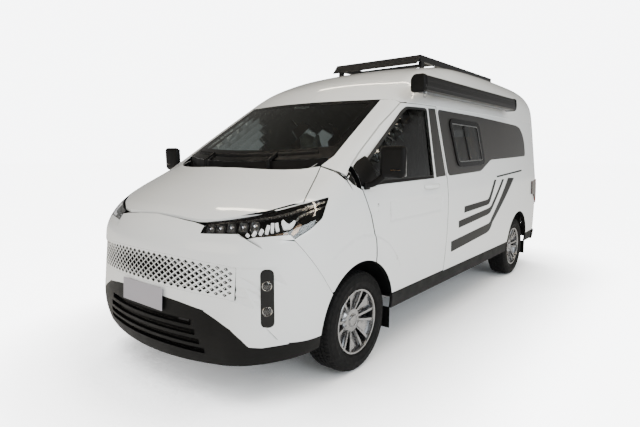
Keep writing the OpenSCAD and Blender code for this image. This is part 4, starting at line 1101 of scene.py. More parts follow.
@dataclass
class Graphics:
    """The charcoal window band and the stripes, as films on the paint."""

    paint: Palette
    nodes: dict[str, Obj]
    film: float = 0.0009

    def build(self) -> None:
        """Lays the films on both flanks."""
        band = [(-1.309, 1.279), (-2.09, 1.297), (-2.39, 1.404), (-3.5, 1.43), (-3.672, 1.434), (-3.668, 1.6),
            (-3.606, 1.7), (-3.5, 1.772), (-3.345, 1.795), (-2.107, 1.828), (-1.182, 1.836)]
        camper = rounded([(-1.42, 1.745), (-2.065, 1.735), (-2.16, 1.39), (-1.545, 1.38)], 0.045, 4)
        rear = rounded([(-2.62, 1.735), (-3.38, 1.722), (-3.4, 1.4), (-2.66, 1.39)], 0.045, 4)
        slide = rounded([(-1.43, 1.745), (-2.25, 1.738), (-2.29, 1.39), (-1.52, 1.38)], 0.045, 4)
        outline = rounded(band, 0.05, 4)
        self.lay("window_band_left", Side.LEFT, [outline, camper])
        self.lay("window_band_right", Side.RIGHT, [outline, rear, slide])
        pillar = [(-1.072, 1.276), (-1.262, 1.283), (-1.143, 1.838), (-1.014, 1.833)]
        for side in Side:
            self.lay(f"pillar_film_{side.tag}", side, [rounded(pillar, 0.008, 3)], f"door_{side.tag}")
            self.stripes(side)

    def lay(self, name: str, side: Side, loops: Sequence[Loop], body: str = "van", mat: Mat | None = None) -> None:
        """Lays one film."""
        ob = Forge.skin_patch(name, loops, View.side(side), 0.0002, self.film, mat or self.paint.charcoal, 0.06)
        Piece.on(ob, body, "black_plastic")

    def stripes(self, side: Side) -> None:
        """Lays the three bent stripes and the thin line of a flank."""
        lines = {"wide": ([(-1.377, 0.603), (-2.254, 0.658), (-2.33, 0.672), (-2.385, 0.706), (-2.42, 0.75),
            (-3.129, 1.188), (-2.909, 1.197), (-2.38, 0.8), (-2.345, 0.768), (-2.3, 0.752), (-1.368, 0.699)]),
            "middle": ([(-1.524, 0.801), (-2.26, 0.848), (-2.33, 0.862), (-2.395, 0.905), (-2.765, 1.188),
            (-2.7, 1.19), (-2.352, 0.932), (-2.315, 0.918), (-2.26, 0.912), (-1.518, 0.866)]),
            "upper": ([(-1.638, 0.928), (-2.24, 0.95), (-2.29, 0.958), (-2.325, 0.985), (-2.515, 1.194),
            (-2.455, 1.196), (-2.288, 1.025), (-2.265, 1.01), (-2.23, 1.004), (-1.644, 0.987)]),
            "thin": ([(-2.54, 1.2165), (-3.47, 1.2545), (-3.47, 1.273), (-2.54, 1.2325)]),}
        for key, loop in lines.items():
            self.lay(f"stripe_{key}_{side.tag}", side, [loop], mat=self.paint.stripe)


@dataclass
class Glazing:
    """The panes with their frames, seals and printed borders."""

    paint: Palette
    nodes: dict[str, Obj]
    border: float = 0.055
    base_border: float = 0.125

    @staticmethod
    def base_x(y: Array) -> Array:
        """Lower edge of the windscreen seen from above."""
        return 0.243 - 0.205 * y * y / 0.5929

    @staticmethod
    def header_x(y: Array) -> Array:
        """Upper edge of the windscreen seen from above."""
        return -0.53 - 0.123 * y * y / 0.499849

    def build(self) -> None:
        """Lays all panes and what frames them."""
        p = self.paint
        panes = [("windscreen", "van", p.screen, 0.0), ("side_windows", "van", p.tinted, 0.003),
            ("door_glass_left", "door_left", p.tinted, -0.009), ("door_glass_right", "door_right", p.tinted, -0.009),
            ("rear_glass_left", "rear_door_left", p.dark_glass, -0.008), ("rear_glass_right", "rear_door_right",
            p.dark_glass, -0.008)]
        for node, body, glass, height in panes:
            SkinPanel(node, body, glass, glass, "glass", height, 0.06, 0.002).build(self.nodes[node])
        self.screen_border()
        for side in Side:
            self.door_trim(side)
            self.rear_seal(side)
        self.window_frame("camper_window", Side.LEFT, [(-1.42, 1.745), (-2.065, 1.735), (-2.16, 1.39),
            (-1.545, 1.38)], 0.45)
        self.window_frame("slide_window", Side.RIGHT, [(-1.43, 1.745), (-2.25, 1.738), (-2.29, 1.39), (-1.52, 1.38)],
            0.5)
        self.window_frame("rear_window", Side.RIGHT, [(-2.62, 1.735), (-3.38, 1.722), (-3.4, 1.4), (-2.66, 1.39)], 0.5)

    def screen_border(self) -> None:
        """Prints the black border of the windscreen, wide along its foot."""
        yb, yt = np.linspace(-0.766, 0.766, 30), np.linspace(0.702, -0.702, 26)
        edge = [*zip(self.base_x(yb) - 0.002, yb), *zip(self.header_x(yt) + 0.002, yt)]
        yb, yt = yb * (0.766 - self.border) / 0.766, yt * (0.702 - self.border) / 0.702
        inner = [*zip(self.base_x(yb) - self.base_border, yb), *zip(self.header_x(yt) + 0.05, yt)]
        inner = rounded(inner, 0.012, 1)
        ob = Forge.skin_patch("screen_border", [edge, inner], View.top(), 0.0002, 0.0007, self.paint.gloss_black, 0.04)
        Piece.on(ob, "van", "black_plastic")

    def door_trim(self, side: Side) -> None:
        """Seals the door window, and covers its front corner and the fixed tip ahead of it."""
        body, lay = f"door_{side.tag}", View.side(side)
        window = rounded([(-0.005, 1.29), (-0.005, 1.352), (-0.13, 1.443), (-0.42, 1.632), (-0.64, 1.776),
            (-0.72, 1.815), (-0.975, 1.818), (-1.02, 1.29)], 0.022)
        seal = Forge.skin_patch(f"door_window_seal_{side.tag}", [grown(window, 0.012), grown(window, -0.007)], lay,
            0.0003, 0.0035, self.paint.seal, 0.03)
        Piece.on(seal, body, "black_plastic")
        sail = rounded([(0.0306, 1.262), (0.0306, 1.386), (-0.02, 1.421), (-0.105, 1.458), (-0.122, 1.38),
            (-0.14, 1.33), (-0.2, 1.276), (-0.2, 1.262)], 0.012, 3)
        Piece.on(Forge.skin_patch(f"sail_{side.tag}", [sail], lay, 0.0003, 0.006, self.paint.black, 0.03), body,
            "black_plastic")
        tip = rounded([(0.0765, 1.264), (0.104, 1.281), (0.122, 1.318), (0.117, 1.329), (0.0765, 1.361)], 0.004, 3)
        Piece.on(Forge.skin_patch(f"sail_tip_{side.tag}", [tip], lay, -0.004, 0.0004, self.paint.black, 0.03), "van",
            "black_plastic")
        belt = [(-0.2, 1.264), (-1.026, 1.272), (-1.026, 1.288), (-0.2, 1.288)]
        Piece.on(Forge.skin_patch(f"belt_seal_{side.tag}", [belt], lay, 0.0003, 0.005, self.paint.black, 0.04), body,
            "black_plastic")

    def rear_seal(self, side: Side) -> None:
        """Seals a rear door's pane."""
        s = side.value
        window = rounded([(s * 0.11, 1.32), (s * 0.69, 1.32), (s * 0.66, 1.82), (s * 0.11, 1.82)], 0.06, 4)
        seal = Forge.skin_patch(f"rear_window_seal_{side.tag}", [grown(window, 0.015), grown(window, -0.012)],
            View.tail(), 0.0003, 0.004, self.paint.seal, 0.04)
        Piece.on(seal, f"rear_door_{side.tag}", "black_plastic")

    def window_frame(self, name: str, side: Side, corners: Loop, split: float) -> None:
        """Frames a camper window: black bezel, grey gasket and the bar of its sliding pane.

        Args:
            name: name of the window.
            side: side of the van.
            corners: corners of its opening, from the upper front one.
            split: where the bar stands, as a share of the width.
        """
        lay = View.side(side)
        hole = rounded(corners, 0.045, 5)
        bezel = Forge.skin_patch(f"{name}_bezel", [grown(hole, 0.03), grown(hole, -0.01)], lay, 0.0003, 0.013,
            self.paint.gloss_black, 0.03)
        gasket = Forge.skin_patch(f"{name}_gasket", [grown(hole, -0.0105), grown(hole, -0.02)], lay, 0.0033, 0.01,
            self.paint.grey_seal, 0.03)
        c = np.array(corners)
        top, foot = c[0] + (c[1] - c[0]) * split, c[3] + (c[2] - c[3]) * split
        bar = Forge.skin_patch(f"{name}_bar", [ribbon([tuple(top - [0, 0.022]), tuple(foot + [0, 0.022])],
            [0.022, 0.022])], lay, 0.0033, 0.009, self.paint.gloss_black, 0.03)
        for ob in (bezel, gasket, bar):
            Piece.on(ob, "van", "black_plastic")


@dataclass
class Nose:
    """Fills the openings of the front: dark backings, hole surrounds, fog lamps and painted corners."""

    paint: Palette
    nodes: dict[str, Obj]
    field_half: float = 0.716

    def build(self) -> None:
        """Builds the backings, the hole surrounds, the painted corners and the lamps of both pods."""
        y = np.linspace(-1, 1, 25)
        low = (0.684 - 0.026 * y * y) - 0.012
        high = (0.88 - 0.034 * y * y) + 0.012
        field_loop = [*zip(y * (self.field_half + 0.012), low), *zip((y * (self.field_half + 0.012))[::-1], high[::-1])]
        backing = Forge.skin_patch("field_backing", [field_loop], View.nose(), -0.036, -0.032, self.paint.black, 0.05,
            False)
        Piece.on(backing, "van", "black_plastic")
        intake = rounded([(-0.64, 0.235), (0.64, 0.235), (0.7, 0.515), (-0.7, 0.515)], 0.03, 3)
        grille = Forge.skin_patch("intake_backing", [intake], View.nose(), -0.056, -0.05, self.paint.black, 0.06, False)
        Piece.on(grille, "van", "black_plastic")
        SkinPanel("bumper_lower", "van", self.paint.black, self.paint.black,
            "black_plastic").build(self.nodes["bumper_lower"])
        Piece.on(self.diamonds(), "van", "black_plastic")
        for side in Side:
            under = [(0.15, 0.862), (0.3228, 0.8762), (0.3468, 0.8508), (0.338, 0.8475), (0.3, 0.848), (0.2, 0.8545)]
            look = View.along(np.array([0.774, 0.62, 0.128]), side)
            Piece.on(Forge.skin_patch(f"lamp_sill_{side.tag}", [under], look, -0.0045, -0.0002, self.paint.white,
                0.02, False), "van", "white_paint")
            corner = [(0.525, 0.577), (0.614, 0.538), (0.699, 0.494), (0.756, 0.437), (0.787, 0.393), (0.84, 0.386),
                (0.904, 0.394), (0.93, 0.396), (0.93, 0.41), (0.904, 0.425), (0.84, 0.485), (0.787, 0.528),
                (0.756, 0.541), (0.699, 0.558), (0.614, 0.579), (0.525, 0.592)]
            painted = Forge.skin_patch(f"bumper_corner_{side.tag}", [[(side.value * y, z) for y, z in corner]],
                View.nose(), -0.0002, 0.0006, self.paint.white, 0.025)
            Piece.on(painted, "van", "white_paint")
            for i, z in enumerate((0.742, 0.598)):
                self.fog(f"{side.tag}_{i}", side, z)

    def diamonds(self, columns: int = 52, rows: int = 10, inset: float = 0.004) -> Obj:
        """Makes the black bevels that widen the field's holes.

        Args:
            columns: half columns of the lattice.
            rows: half rows of the lattice.
            inset: plain margin of the field.

        Returns:
            All bevels as one object.
        """
        cells = [(i, j) for j in range(1, rows) for i in range(1, columns) if (i + j) % 2 == 1]

        def node(i: int, j: int) -> Array:
            """Place of a lattice point on the flat nose."""
            t = 2 * i / columns - 1
            low, high = 0.684 - 0.026 * t * t + inset, 0.88 - 0.034 * t * t - inset
            return np.array([-t * (self.field_half - inset), low + (high - low) * j / rows])

        flat = []
        for i, j in cells:
            u, v, mid = abs(2 * i / columns - 1), abs(2 * j / rows - 1), node(i, j)
            hole = 0.66 * (1 - 0.62 * u * u) * (1 - 0.25 * v * v)
            wide = 0.86 * (1 - 0.38 * u * u) * (1 - 0.16 * v * v)
            tips = [node(i - 1, j) - mid, node(i, j - 1) - mid, node(i + 1, j) - mid, node(i, j + 1) - mid]
            flat += [mid + k * t for k in (hole + 0.01, wide) for t in tips]
        base = View.nose()(np.array(flat))
        n = SKIN.normal(base, True)
        base = base + SKIN.relief(base)[:, None] * n
        count = len(base)
        verts = np.vstack([base + 0.0005 * n, base - 0.0006 * n])
        faces: list[tuple[int, ...]] = []
        for c in range(0, count, 8):
            for a in range(4):
                b = (a + 1) % 4
                i, j, k, m = c + a, c + b, c + 4 + b, c + 4 + a
                faces += [(i, j, k, m), (m + count, k + count, j + count, i + count), (m, k, k + count, m + count),
                    (j, i, i + count, j + count)]
        if np.dot(np.cross(verts[1] - verts[0], verts[5] - verts[0]), n[0]) < 0:
            faces = [f[::-1] for f in faces]
        return Forge.mesh("field_bevels", verts, faces, [self.paint.black])

    def fog(self, tag: str, side: Side, z: float) -> None:
        """Builds a round fog lamp: bezel, bowl, projector and lens.

        Args:
            tag: end of the piece names.
            side: side of the van.
            z: height of the lamp.
        """
        at = np.array([[0.766 + AXLE_X, side.value * 0.864, z]])
        for _ in range(4):
            at = at - (SKIN.depth(at) + 0.0035)[:, None] * SKIN.normal(at)
        axis, at = SKIN.normal(at)[0], at[0]
        p = self.paint
        rings = {"fog_bezel": (p.satin, [(0.0282, -0.03), (0.0282, 0.0012), (0.0262, 0.0028), (0.0243, 0.0012),
            (0.0236, -0.004), (0.0236, -0.03)]), "fog_bowl": (p.chrome, [(0.0234, -0.006), (0.0205, -0.0145),
            (0.014, -0.0215), (0.0085, -0.024), (0.0, -0.0244), (0.0, -0.0262), (0.0095, -0.0258), (0.0155, -0.0232),
            (0.0222, -0.0155), (0.0236, -0.0075)]), "fog_projector": (p.dark_glass,
            [(0.0098, -0.0238), (0.0098, -0.0165), (0.008, -0.0135), (0.0045, -0.0115), (0.0, -0.0108)]),
            "fog_lens": (p.lens, [(0.024, -0.0028), (0.0238, -0.0002), (0.0195, 0.0016), (0.011, 0.0031),
            (0.0, 0.0036), (0.0, 0.0016), (0.011, 0.0012), (0.0195, -0.0003), (0.0225, -0.003)]),}
        for name, (mat, profile) in rings.items():
            Piece.on(Forge.lathe(f"{name}_{tag}", profile, at, axis, mat, 40), "van", "lamp")


@dataclass
class Headlamps:
    """A headlamp behind one clear cover: dark bowl, light modules, white fins with a faint glow as painted highlight,
    and trim strips.
    """

    paint: Palette
    nodes: dict[str, Obj]
    look: tuple[float, float, float] = (0.774, 0.62, 0.128)

    def build(self) -> None:
        """Builds both lamps."""
        parts = [self.lamp(side) for side in Side]
        housings = Forge.join("lamp_housings", [p[0] for p in parts])
        Piece.on(housings, "van", "black_plastic", "headlamps")
        for pieces in parts:
            for ob in pieces[1:]:
                Piece.on(ob, "van", "lamp")

    def lamp(self, side: Side) -> list[Obj]:
        """Builds the pieces of one lamp, its housing first."""
        p, lay, tag = self.paint, View.along(np.array(self.look), side), side.tag
        rim = [(-0.1769, 0.9454), (-0.0272, 0.9599), (0.1203, 0.9838), (0.263, 1.0155), (0.4047, 1.0549),
            (0.5386, 1.0922), (0.5394, 1.0824), (0.5007, 0.9663), (0.4318, 0.9034), (0.3471, 0.8512), (0.3229, 0.877),
            (0.074, 0.8556), (0.0306, 0.8817), (-0.2055, 0.8803)]

        def put(name: str, loops: Sequence[Loop], low: float, high: float, mat: Mat, longest: float = 0.03) -> Obj:
            """Lays a patch of the lamp on the skin."""
            return Forge.skin_patch(f"{name}_{tag}", loops, lay, low, high, mat, longest, False)

        floor = put("lamp_floor", [rim], -0.062, -0.05, p.gloss_black)
        wall = put("lamp_wall", [rim, grown(rim, -0.0045)], -0.052, -0.0008, p.gloss_black)
        out = [Forge.join(f"lamp_housing_{tag}", [floor, wall])]
        strip = [(-0.17, 0.936), (-0.0865, 0.946), (0.0745, 0.963), (0.2231, 0.9838), (0.3271, 1.0064),
            (0.3976, 1.0297), (0.4588, 1.0536), (0.5235, 1.0783)]
        out.append(put("lamp_blade", [ribbon(strip, [0.004, 0.006, 0.008, 0.01, 0.015, 0.02, 0.026, 0.017])], -0.024,
            -0.014, p.satin, 0.02))
        arm = [(0.3548, 0.9603), (0.3776, 0.9845), (0.4166, 1.0048), (0.4859, 1.0296), (0.5247, 1.0464)]
        out.append(put("lamp_arm", [ribbon(arm, [0.012, 0.015, 0.013, 0.01, 0.006])], -0.026, -0.017, p.satin, 0.02))
        bronze = ribbon([(0.38, 0.944), (0.356, 0.902), (0.3375, 0.8785)], [0.026, 0.03, 0.016])
        out.append(put("lamp_bronze", [bronze], -0.026, -0.018, p.bronze, 0.02))
        foot = ribbon([(0.085, 0.8655), (0.1782, 0.873), (0.2799, 0.8835), (0.315, 0.886)],
            [0.006, 0.008, 0.012, 0.014])
        out.append(put("lamp_foot", [foot], -0.03, -0.02, p.bronze, 0.02))
        lows = [(0.0725, 0.874), (0.1097, 0.8753), (0.1509, 0.8836), (0.1888, 0.8887), (0.2222, 0.8963),
            (0.2537, 0.9039)]
        highs = [(0.0843, 0.8882), (0.1256, 0.9017), (0.1644, 0.913), (0.1982, 0.9365), (0.2204, 0.9484),
            (0.2433, 0.9484)]
        # The fins take the faintly glowing white: a painted highlight.
        fins = [put(f"fin_{i}", [ribbon([a, ((a[0] + b[0]) / 2 - 0.001, (a[1] + b[1]) / 2), b],
            [0.012 + 0.0012 * i] * 3)], -0.034, -0.012, p.bright, 0.012) for i, (a, b) in enumerate(zip(lows, highs))]
        vee = [(0.2694, 0.9562), (0.2817, 0.9676), (0.2981, 0.9499), (0.3166, 0.9396), (0.3443, 0.9639),
            (0.3539, 0.9535), (0.3401, 0.9261), (0.3251, 0.9138), (0.2883, 0.912)]
        fins.append(put("fin_vee", [rounded(vee, 0.006, 3)], -0.034, -0.012, p.bright, 0.012))
        out.append(Forge.join(f"lamp_fins_{tag}", fins))
        out += self.modules(tag, lay)
        outer = [(0.39, 0.935), (0.402, 0.965), (0.44, 0.998), (0.505, 1.024), (0.503, 0.985), (0.484, 0.958),
            (0.425, 0.908), (0.378, 0.882)]
        out.append(put("lamp_signal", [rounded(outer, 0.012, 3)], -0.034, -0.026, p.dark_glass, 0.02))
        out.append(put("lamp_cover", [grown(rim, -0.0009)], -0.0036, -0.0006, p.lens, 0.025))
        return out

    def modules(self, tag: str, lay: Callable[[Array], Array]) -> list[Obj]:
        """Builds the row of light modules: frames, bowls and lenses."""
        p = self.paint
        frames, bowls, lenses = [], [], []
        for i, (u, v) in enumerate([(-0.1554, 0.9137), (-0.0941, 0.9171), (-0.0258, 0.9224), (0.0463, 0.9266),
                (0.1163, 0.9327)]):
            w, h = 0.026, 0.021 + 0.0015 * i
            box = rounded([(u - w, v - h), (u + w - 0.004, v - h), (u + w, v + h), (u - w + 0.004, v + h)], 0.006, 3)
            frames.append(Forge.skin_patch(f"frame_{i}", [box, grown(box, -0.0042)], lay, -0.04, -0.02, p.cast, 0.02,
                False))
            bowls.append(Forge.skin_patch(f"bowl_{i}", [grown(box, -0.0045)], lay, -0.04, -0.036, p.chrome, 0.02,
                False))
            lenses.append(Forge.skin_patch(f"lens_{i}", [circle(u + 0.004, v, 0.0125, 24)], lay, -0.036, -0.024,
                p.lens, 0.006, False))
        names = ("lamp_frames", "lamp_bowls", "lamp_lenses")
        return [Forge.join(f"{n}_{tag}", parts) for n, parts in zip(names, (frames, bowls, lenses))]


@dataclass
class TailLamps:
    """The upright lamps of the rear corners: red lens and dark frame; no clear reversing field is drawn."""

    paint: Palette
    nodes: dict[str, Obj]

    def build(self) -> None:
        """Lays the smooth lens over the part's lamps and ribs behind it."""
        SkinPanel("tail_lamps", "van", self.paint.red, self.paint.black, "red_lamp", 0.0129, 0.04,
            0.003).build(self.nodes["tail_lamps"])


class RingArray:
    """Geometry Nodes tree that repeats a piece on a circle about its local z axis."""

    def __init__(self) -> None:
        """Builds the tree."""
        self.tree = tree = bpy.data.node_groups.new("ring_array", "GeometryNodeTree")
        kinds = {"Piece": "Geometry", "Count": "Int", "Radius": "Float", "First": "Float", "Finish": "Material"}
        self.ids = {n: tree.interface.new_socket(n, in_out="INPUT", socket_type=f"NodeSocket{k}").identifier for n,
            k in kinds.items()}
        tree.interface.new_socket("Ring", in_out="OUTPUT", socket_type="NodeSocketGeometry")
        new, link = tree.nodes.new, tree.links.new
        given, made = new("NodeGroupInput"), new("NodeGroupOutput")
        circle_points, put, real, finish = (new(k) for k in ("GeometryNodeMeshCircle", "GeometryNodeInstanceOnPoints",
            "GeometryNodeRealizeInstances", "GeometryNodeSetMaterial"))
        index, turn, shift, axis = (new("GeometryNodeInputIndex"), new("ShaderNodeMath"), new("ShaderNodeMath"),
                                    new("FunctionNodeAxisAngleToRotation"))
        step, spin = new("ShaderNodeMath"), new("GeometryNodeTransform")
        step.operation, turn.operation, shift.operation = "DIVIDE", "MULTIPLY", "ADD"
        step.inputs[0].default_value = 2 * math.pi
        axis.inputs["Axis"].default_value = (0, 0, 1)
        link(given.outputs["Count"], circle_points.inputs["Vertices"])
        link(given.outputs["Radius"], circle_points.inputs["Radius"])
        link(given.outputs["Count"], step.inputs[1])
        link(index.outputs[0], turn.inputs[0])
        link(step.outputs[0], turn.inputs[1])
        link(turn.outputs[0], axis.inputs["Angle"])
        link(circle_points.outputs["Mesh"], put.inputs["Points"])
        link(given.outputs["Piece"], put.inputs["Instance"])
        link(axis.outputs["Rotation"], put.inputs["Rotation"])
        whole = new("FunctionNodeAxisAngleToRotation")
        whole.inputs["Axis"].default_value = (0, 0, 1)
        link(given.outputs["First"], whole.inputs["Angle"])
        link(put.outputs["Instances"], spin.inputs["Geometry"])
        link(whole.outputs["Rotation"], spin.inputs["Rotation"])
        link(spin.outputs["Geometry"], real.inputs["Geometry"])
        link(real.outputs["Geometry"], finish.inputs["Geometry"])
        link(given.outputs["Finish"], finish.inputs["Material"])
        link(finish.outputs["Geometry"], made.inputs["Ring"])
        tree.nodes.remove(shift)

    def ring(self, piece: Obj, count: int, radius: float, mat: Mat, first: float = 0.0) -> Obj:
        """Repeats a piece, whose local x points away from the axis.

        Args:
            piece: the piece at the origin; it becomes the ring.
            count: number of copies.
            radius: radius of the circle.
            mat: finish of the copies.
            first: angle of the first copy, in degrees.

        Returns:
            The ring, about the origin.
        """
        mod = piece.modifiers.new("ring", "NODES")
        mod.node_group = self.tree
        for key, value in (("Count", count), ("Radius", radius), ("First", math.radians(first)), ("Finish", mat)):
            mod[self.ids[key]] = value
        piece.update_tag()
        bpy.context.view_layer.update()
        made = bpy.data.meshes.new_from_object(piece.evaluated_get(bpy.context.evaluated_depsgraph_get()))
        piece.modifiers.remove(mod)
        old, piece.data = piece.data, made
        bpy.data.meshes.remove(old)
        return piece


@dataclass
class Wheels:
    """Tyres with tread and cast wheels with six pairs of spokes."""

    paint: Palette
    nodes: dict[str, Obj]
    tyre_r: float = 0.343
    half_width: float = 0.1075
    rim_r: float = 0.222
    half_track: float = 0.858
    wheelbase: float = 3.366
    pairs: int = 6
    blocks: int = 66

    def build(self) -> None:
        """Builds one tyre and one wheel and sets copies at the four corners."""
        rings = RingArray()
        tyre, rim, nuts = self.tyre(rings), self.rim(rings), self.nuts(rings)
        for axle, x in (("front", AXLE_X), ("rear", AXLE_X - self.wheelbase)):
            for side in Side:
                where, body = f"{axle}_{side.tag}", f"wheel_{axle}_{side.tag}"
                Piece.on(self.placed(tyre, f"tyre_{where}_tread", x, side), body, "tyre", f"tyre_{where}")
                Piece.on(self.placed(rim, f"rim_{where}_cast", x, side), body, "alloy", f"rim_{where}")
                Piece.on(self.placed(nuts, f"lug_nuts_{where}", x, side), body, "steel")
        for ob in (tyre, rim, nuts):
            bpy.data.objects.remove(ob)

    def placed(self, source: Obj, name: str, x: float, side: Side) -> Obj:
        """Copies a piece from the local wheel axes to its corner."""
        me = source.data.copy()
        p = np.array([v.co for v in me.vertices])
        q = np.stack([x + p[:, 0], side.value * (self.half_track + p[:, 2]), self.tyre_r - p[:, 1]], -1)
        me.vertices.foreach_set("co", q.ravel())
        if side is Side.RIGHT:
            me.flip_normals()
        me.name = name
        ob = bpy.data.objects.new(name, me)
        bpy.context.scene.collection.objects.link(ob)
        return ob

    def tyre(self, rings: RingArray) -> Obj:
        """Builds the carcass with its side ribs and the rows of tread blocks."""
        r, w, rim = self.tyre_r, self.half_width, self.rim_r
        half = [(rim - 0.0068, 0.0), (rim - 0.0068, 0.087), (rim + 0.0015, 0.0876), (rim + 0.004, 0.0925),
            (rim + 0.006, 0.096), (rim + 0.012, 0.1005), (rim + 0.013, 0.1025), (rim + 0.016, 0.103),
            (rim + 0.0175, 0.102), (rim + 0.03, w - 0.0015), (rim + 0.05, w - 0.0004), (rim + 0.052, w + 0.0008),
            (rim + 0.055, w + 0.0008), (rim + 0.057, w - 0.0004), (r - 0.04, w - 0.003), (r - 0.032, w - 0.0055),
            (r - 0.0315, w - 0.004), (r - 0.0285, w - 0.005), (r - 0.0275, w - 0.0075), (r - 0.02, w - 0.0115),
            (r - 0.0125, w - 0.018), (r - 0.0085, w - 0.026), (r - 0.0075, 0.066), (r - 0.007, 0.0)]
        profile = half + [(a, -b) for a, b in half[-2::-1]]
        body = Forge.lathe("carcass", profile, (0, 0, 0), (0, 0, 1), self.paint.tyre, 128, 30)
        parts = [body]
        long = 2 * math.pi * r / self.blocks
        rows = ((0.0505, 0.0135, 0.0), (0.0172, 0.0125, 0.5), (-0.0172, 0.0125, 0.0), (-0.0505, 0.0135, 0.5))
        for z, half_row, share in rows:
            def skew(p: Array, z: float = z) -> Array:
                """Slants a tread block."""
                q = p.copy()
                q[:, 1] += 0.25 * (p[:, 2] - z) * np.sign(z)
                return q
            piece = Forge.block("tread", (-0.009, -long * 0.44, z - half_row), (0.0, long * 0.44, z + half_row),
                self.paint.tyre, 0.0011, 1, skew)
            parts.append(rings.ring(piece, self.blocks, r, self.paint.tyre, share * 360 / self.blocks))
        for s in (-1, 1):
            def lean(p: Array, s: int = s) -> Array:
                """Leans a shoulder block down the side of the tyre."""
                q = p.copy()
                q[:, 0] -= 0.3 * (np.abs(p[:, 2]) - 0.067) + 9.0 * np.maximum(np.abs(p[:, 2]) - 0.078, 0) ** 2
                return q
            lo, hi = sorted((s * 0.067, s * 0.0925))
            piece = Forge.block("shoulder", (-0.01, -long * 0.4, lo), (-0.0006, long * 0.4, hi), self.paint.tyre,
                0.0014, 2, lean)
            parts.append(rings.ring(piece, self.blocks, r, self.paint.tyre, 90 / self.blocks))
        return Forge.join("tyre", parts)

    def rim(self, rings: RingArray) -> Obj:
        """Builds the barrel, the spokes with the webs between the pairs, the hub and the cap."""
        r, alloy = self.rim_r, self.paint.alloy
        barrel = [(r - 0.02, -0.092), (r - 0.001, -0.092), (r, -0.091), (r, -0.0882), (r - 0.0072, -0.0882),
            (r - 0.0072, 0.0882), (r, 0.0882), (r, 0.0935), (r - 0.0015, 0.0952), (r - 0.011, 0.0952),
            (r - 0.0135, 0.0938), (r - 0.0165, 0.086), (r - 0.018, 0.08), (r - 0.018, -0.084), (r - 0.02, -0.092)]
        hub = [(0.0325, 0.0222), (0.098, 0.0222), (0.1, 0.024), (0.1, 0.036), (0.097, 0.04), (0.08, 0.0525),
            (0.076, 0.054), (0.0325, 0.054), (0.0325, 0.0222)]
        cap = [(0.0, 0.0645), (0.02, 0.0642), (0.033, 0.0628), (0.0375, 0.0605), (0.0385, 0.058), (0.0405, 0.058),
            (0.0415, 0.0595), (0.0435, 0.0595), (0.0455, 0.057), (0.046, 0.046), (0.0, 0.046)]
        parts = [Forge.lathe("barrel", barrel, (0, 0, 0), (0, 0, 1), alloy, 120, 30),
            Forge.lathe("hub", hub, (0, 0, 0), (0, 0, 1), alloy, 72, 30), Forge.lathe("cap", cap, (0, 0, 0),
            (0, 0, 1), alloy, 60, 30)]
        side = [(0.066, 0.028), (0.066, 0.052), (0.14, 0.0725), (r - 0.0155, 0.0855), (r - 0.0155, 0.06), (0.14, 0.046)]
        for turn in (-11, 11):
            parts.append(rings.ring(self.prism("spoke", side, 0.0085, 0.0115), self.pairs, 0.0, alloy, turn))
        web = [(0.085, 0.026), (0.085, 0.038), (0.118, 0.043), (r - 0.0165, 0.0655), (r - 0.0165, 0.052),
            (0.118, 0.029)]
        parts.append(rings.ring(self.prism("web", web, 0.012, 0.06), self.pairs, 0.0, alloy, 30))
        return Forge.join("rim", parts)

    def prism(self, name: str, outline: Loop, near: float, far: float) -> Obj:
        """Builds a spoke from its side outline (radius, height), widening from its foot to the rim."""
        bm = bmesh.new()
        pts = np.array(outline)
        share = (pts[:, 0] - pts[:, 0].min()) / np.ptp(pts[:, 0])
        wide = near + (far - near) * share
        top = (pts[:, 1] > np.interp(pts[:, 0], [0.066, 0.206], [0.04, 0.066])).astype(float)
        wide = wide * (1 - 0.12 * top)
        a = [bm.verts.new((x, -w, z)) for (x, z), w in zip(pts, wide)]
        b = [bm.verts.new((x, w, z)) for (x, z), w in zip(pts, wide)]
        n = len(pts)
        bm.faces.new(a)
        bm.faces.new(b[::-1])
        for i in range(n):
            j = (i + 1) % n
            bm.faces.new((a[j], a[i], b[i], b[j]))
        bmesh.ops.recalc_face_normals(bm, faces=bm.faces)
        bmesh.ops.bevel(bm, geom=list(bm.edges), offset=0.0028, segments=2, profile=0.6, affect="EDGES")
        return Forge.from_bmesh(name, bm, self.paint.alloy, 30)

    def nuts(self, rings: RingArray) -> Obj:
        """Builds the ring of lug nuts in their holes."""
        profile = [(0.0, 0.049), (0.0055, 0.0485), (0.0085, 0.046), (0.0088, 0.03), (0.0095, 0.029), (0.0095, 0.0228),
            (0.0, 0.0228)]
        nut = Forge.lathe("nut", profile, (0, 0, 0), (0, 0, 1), self.paint.steel, 6, 25)
        return rings.ring(nut, 6, 0.065, self.paint.steel, 30)


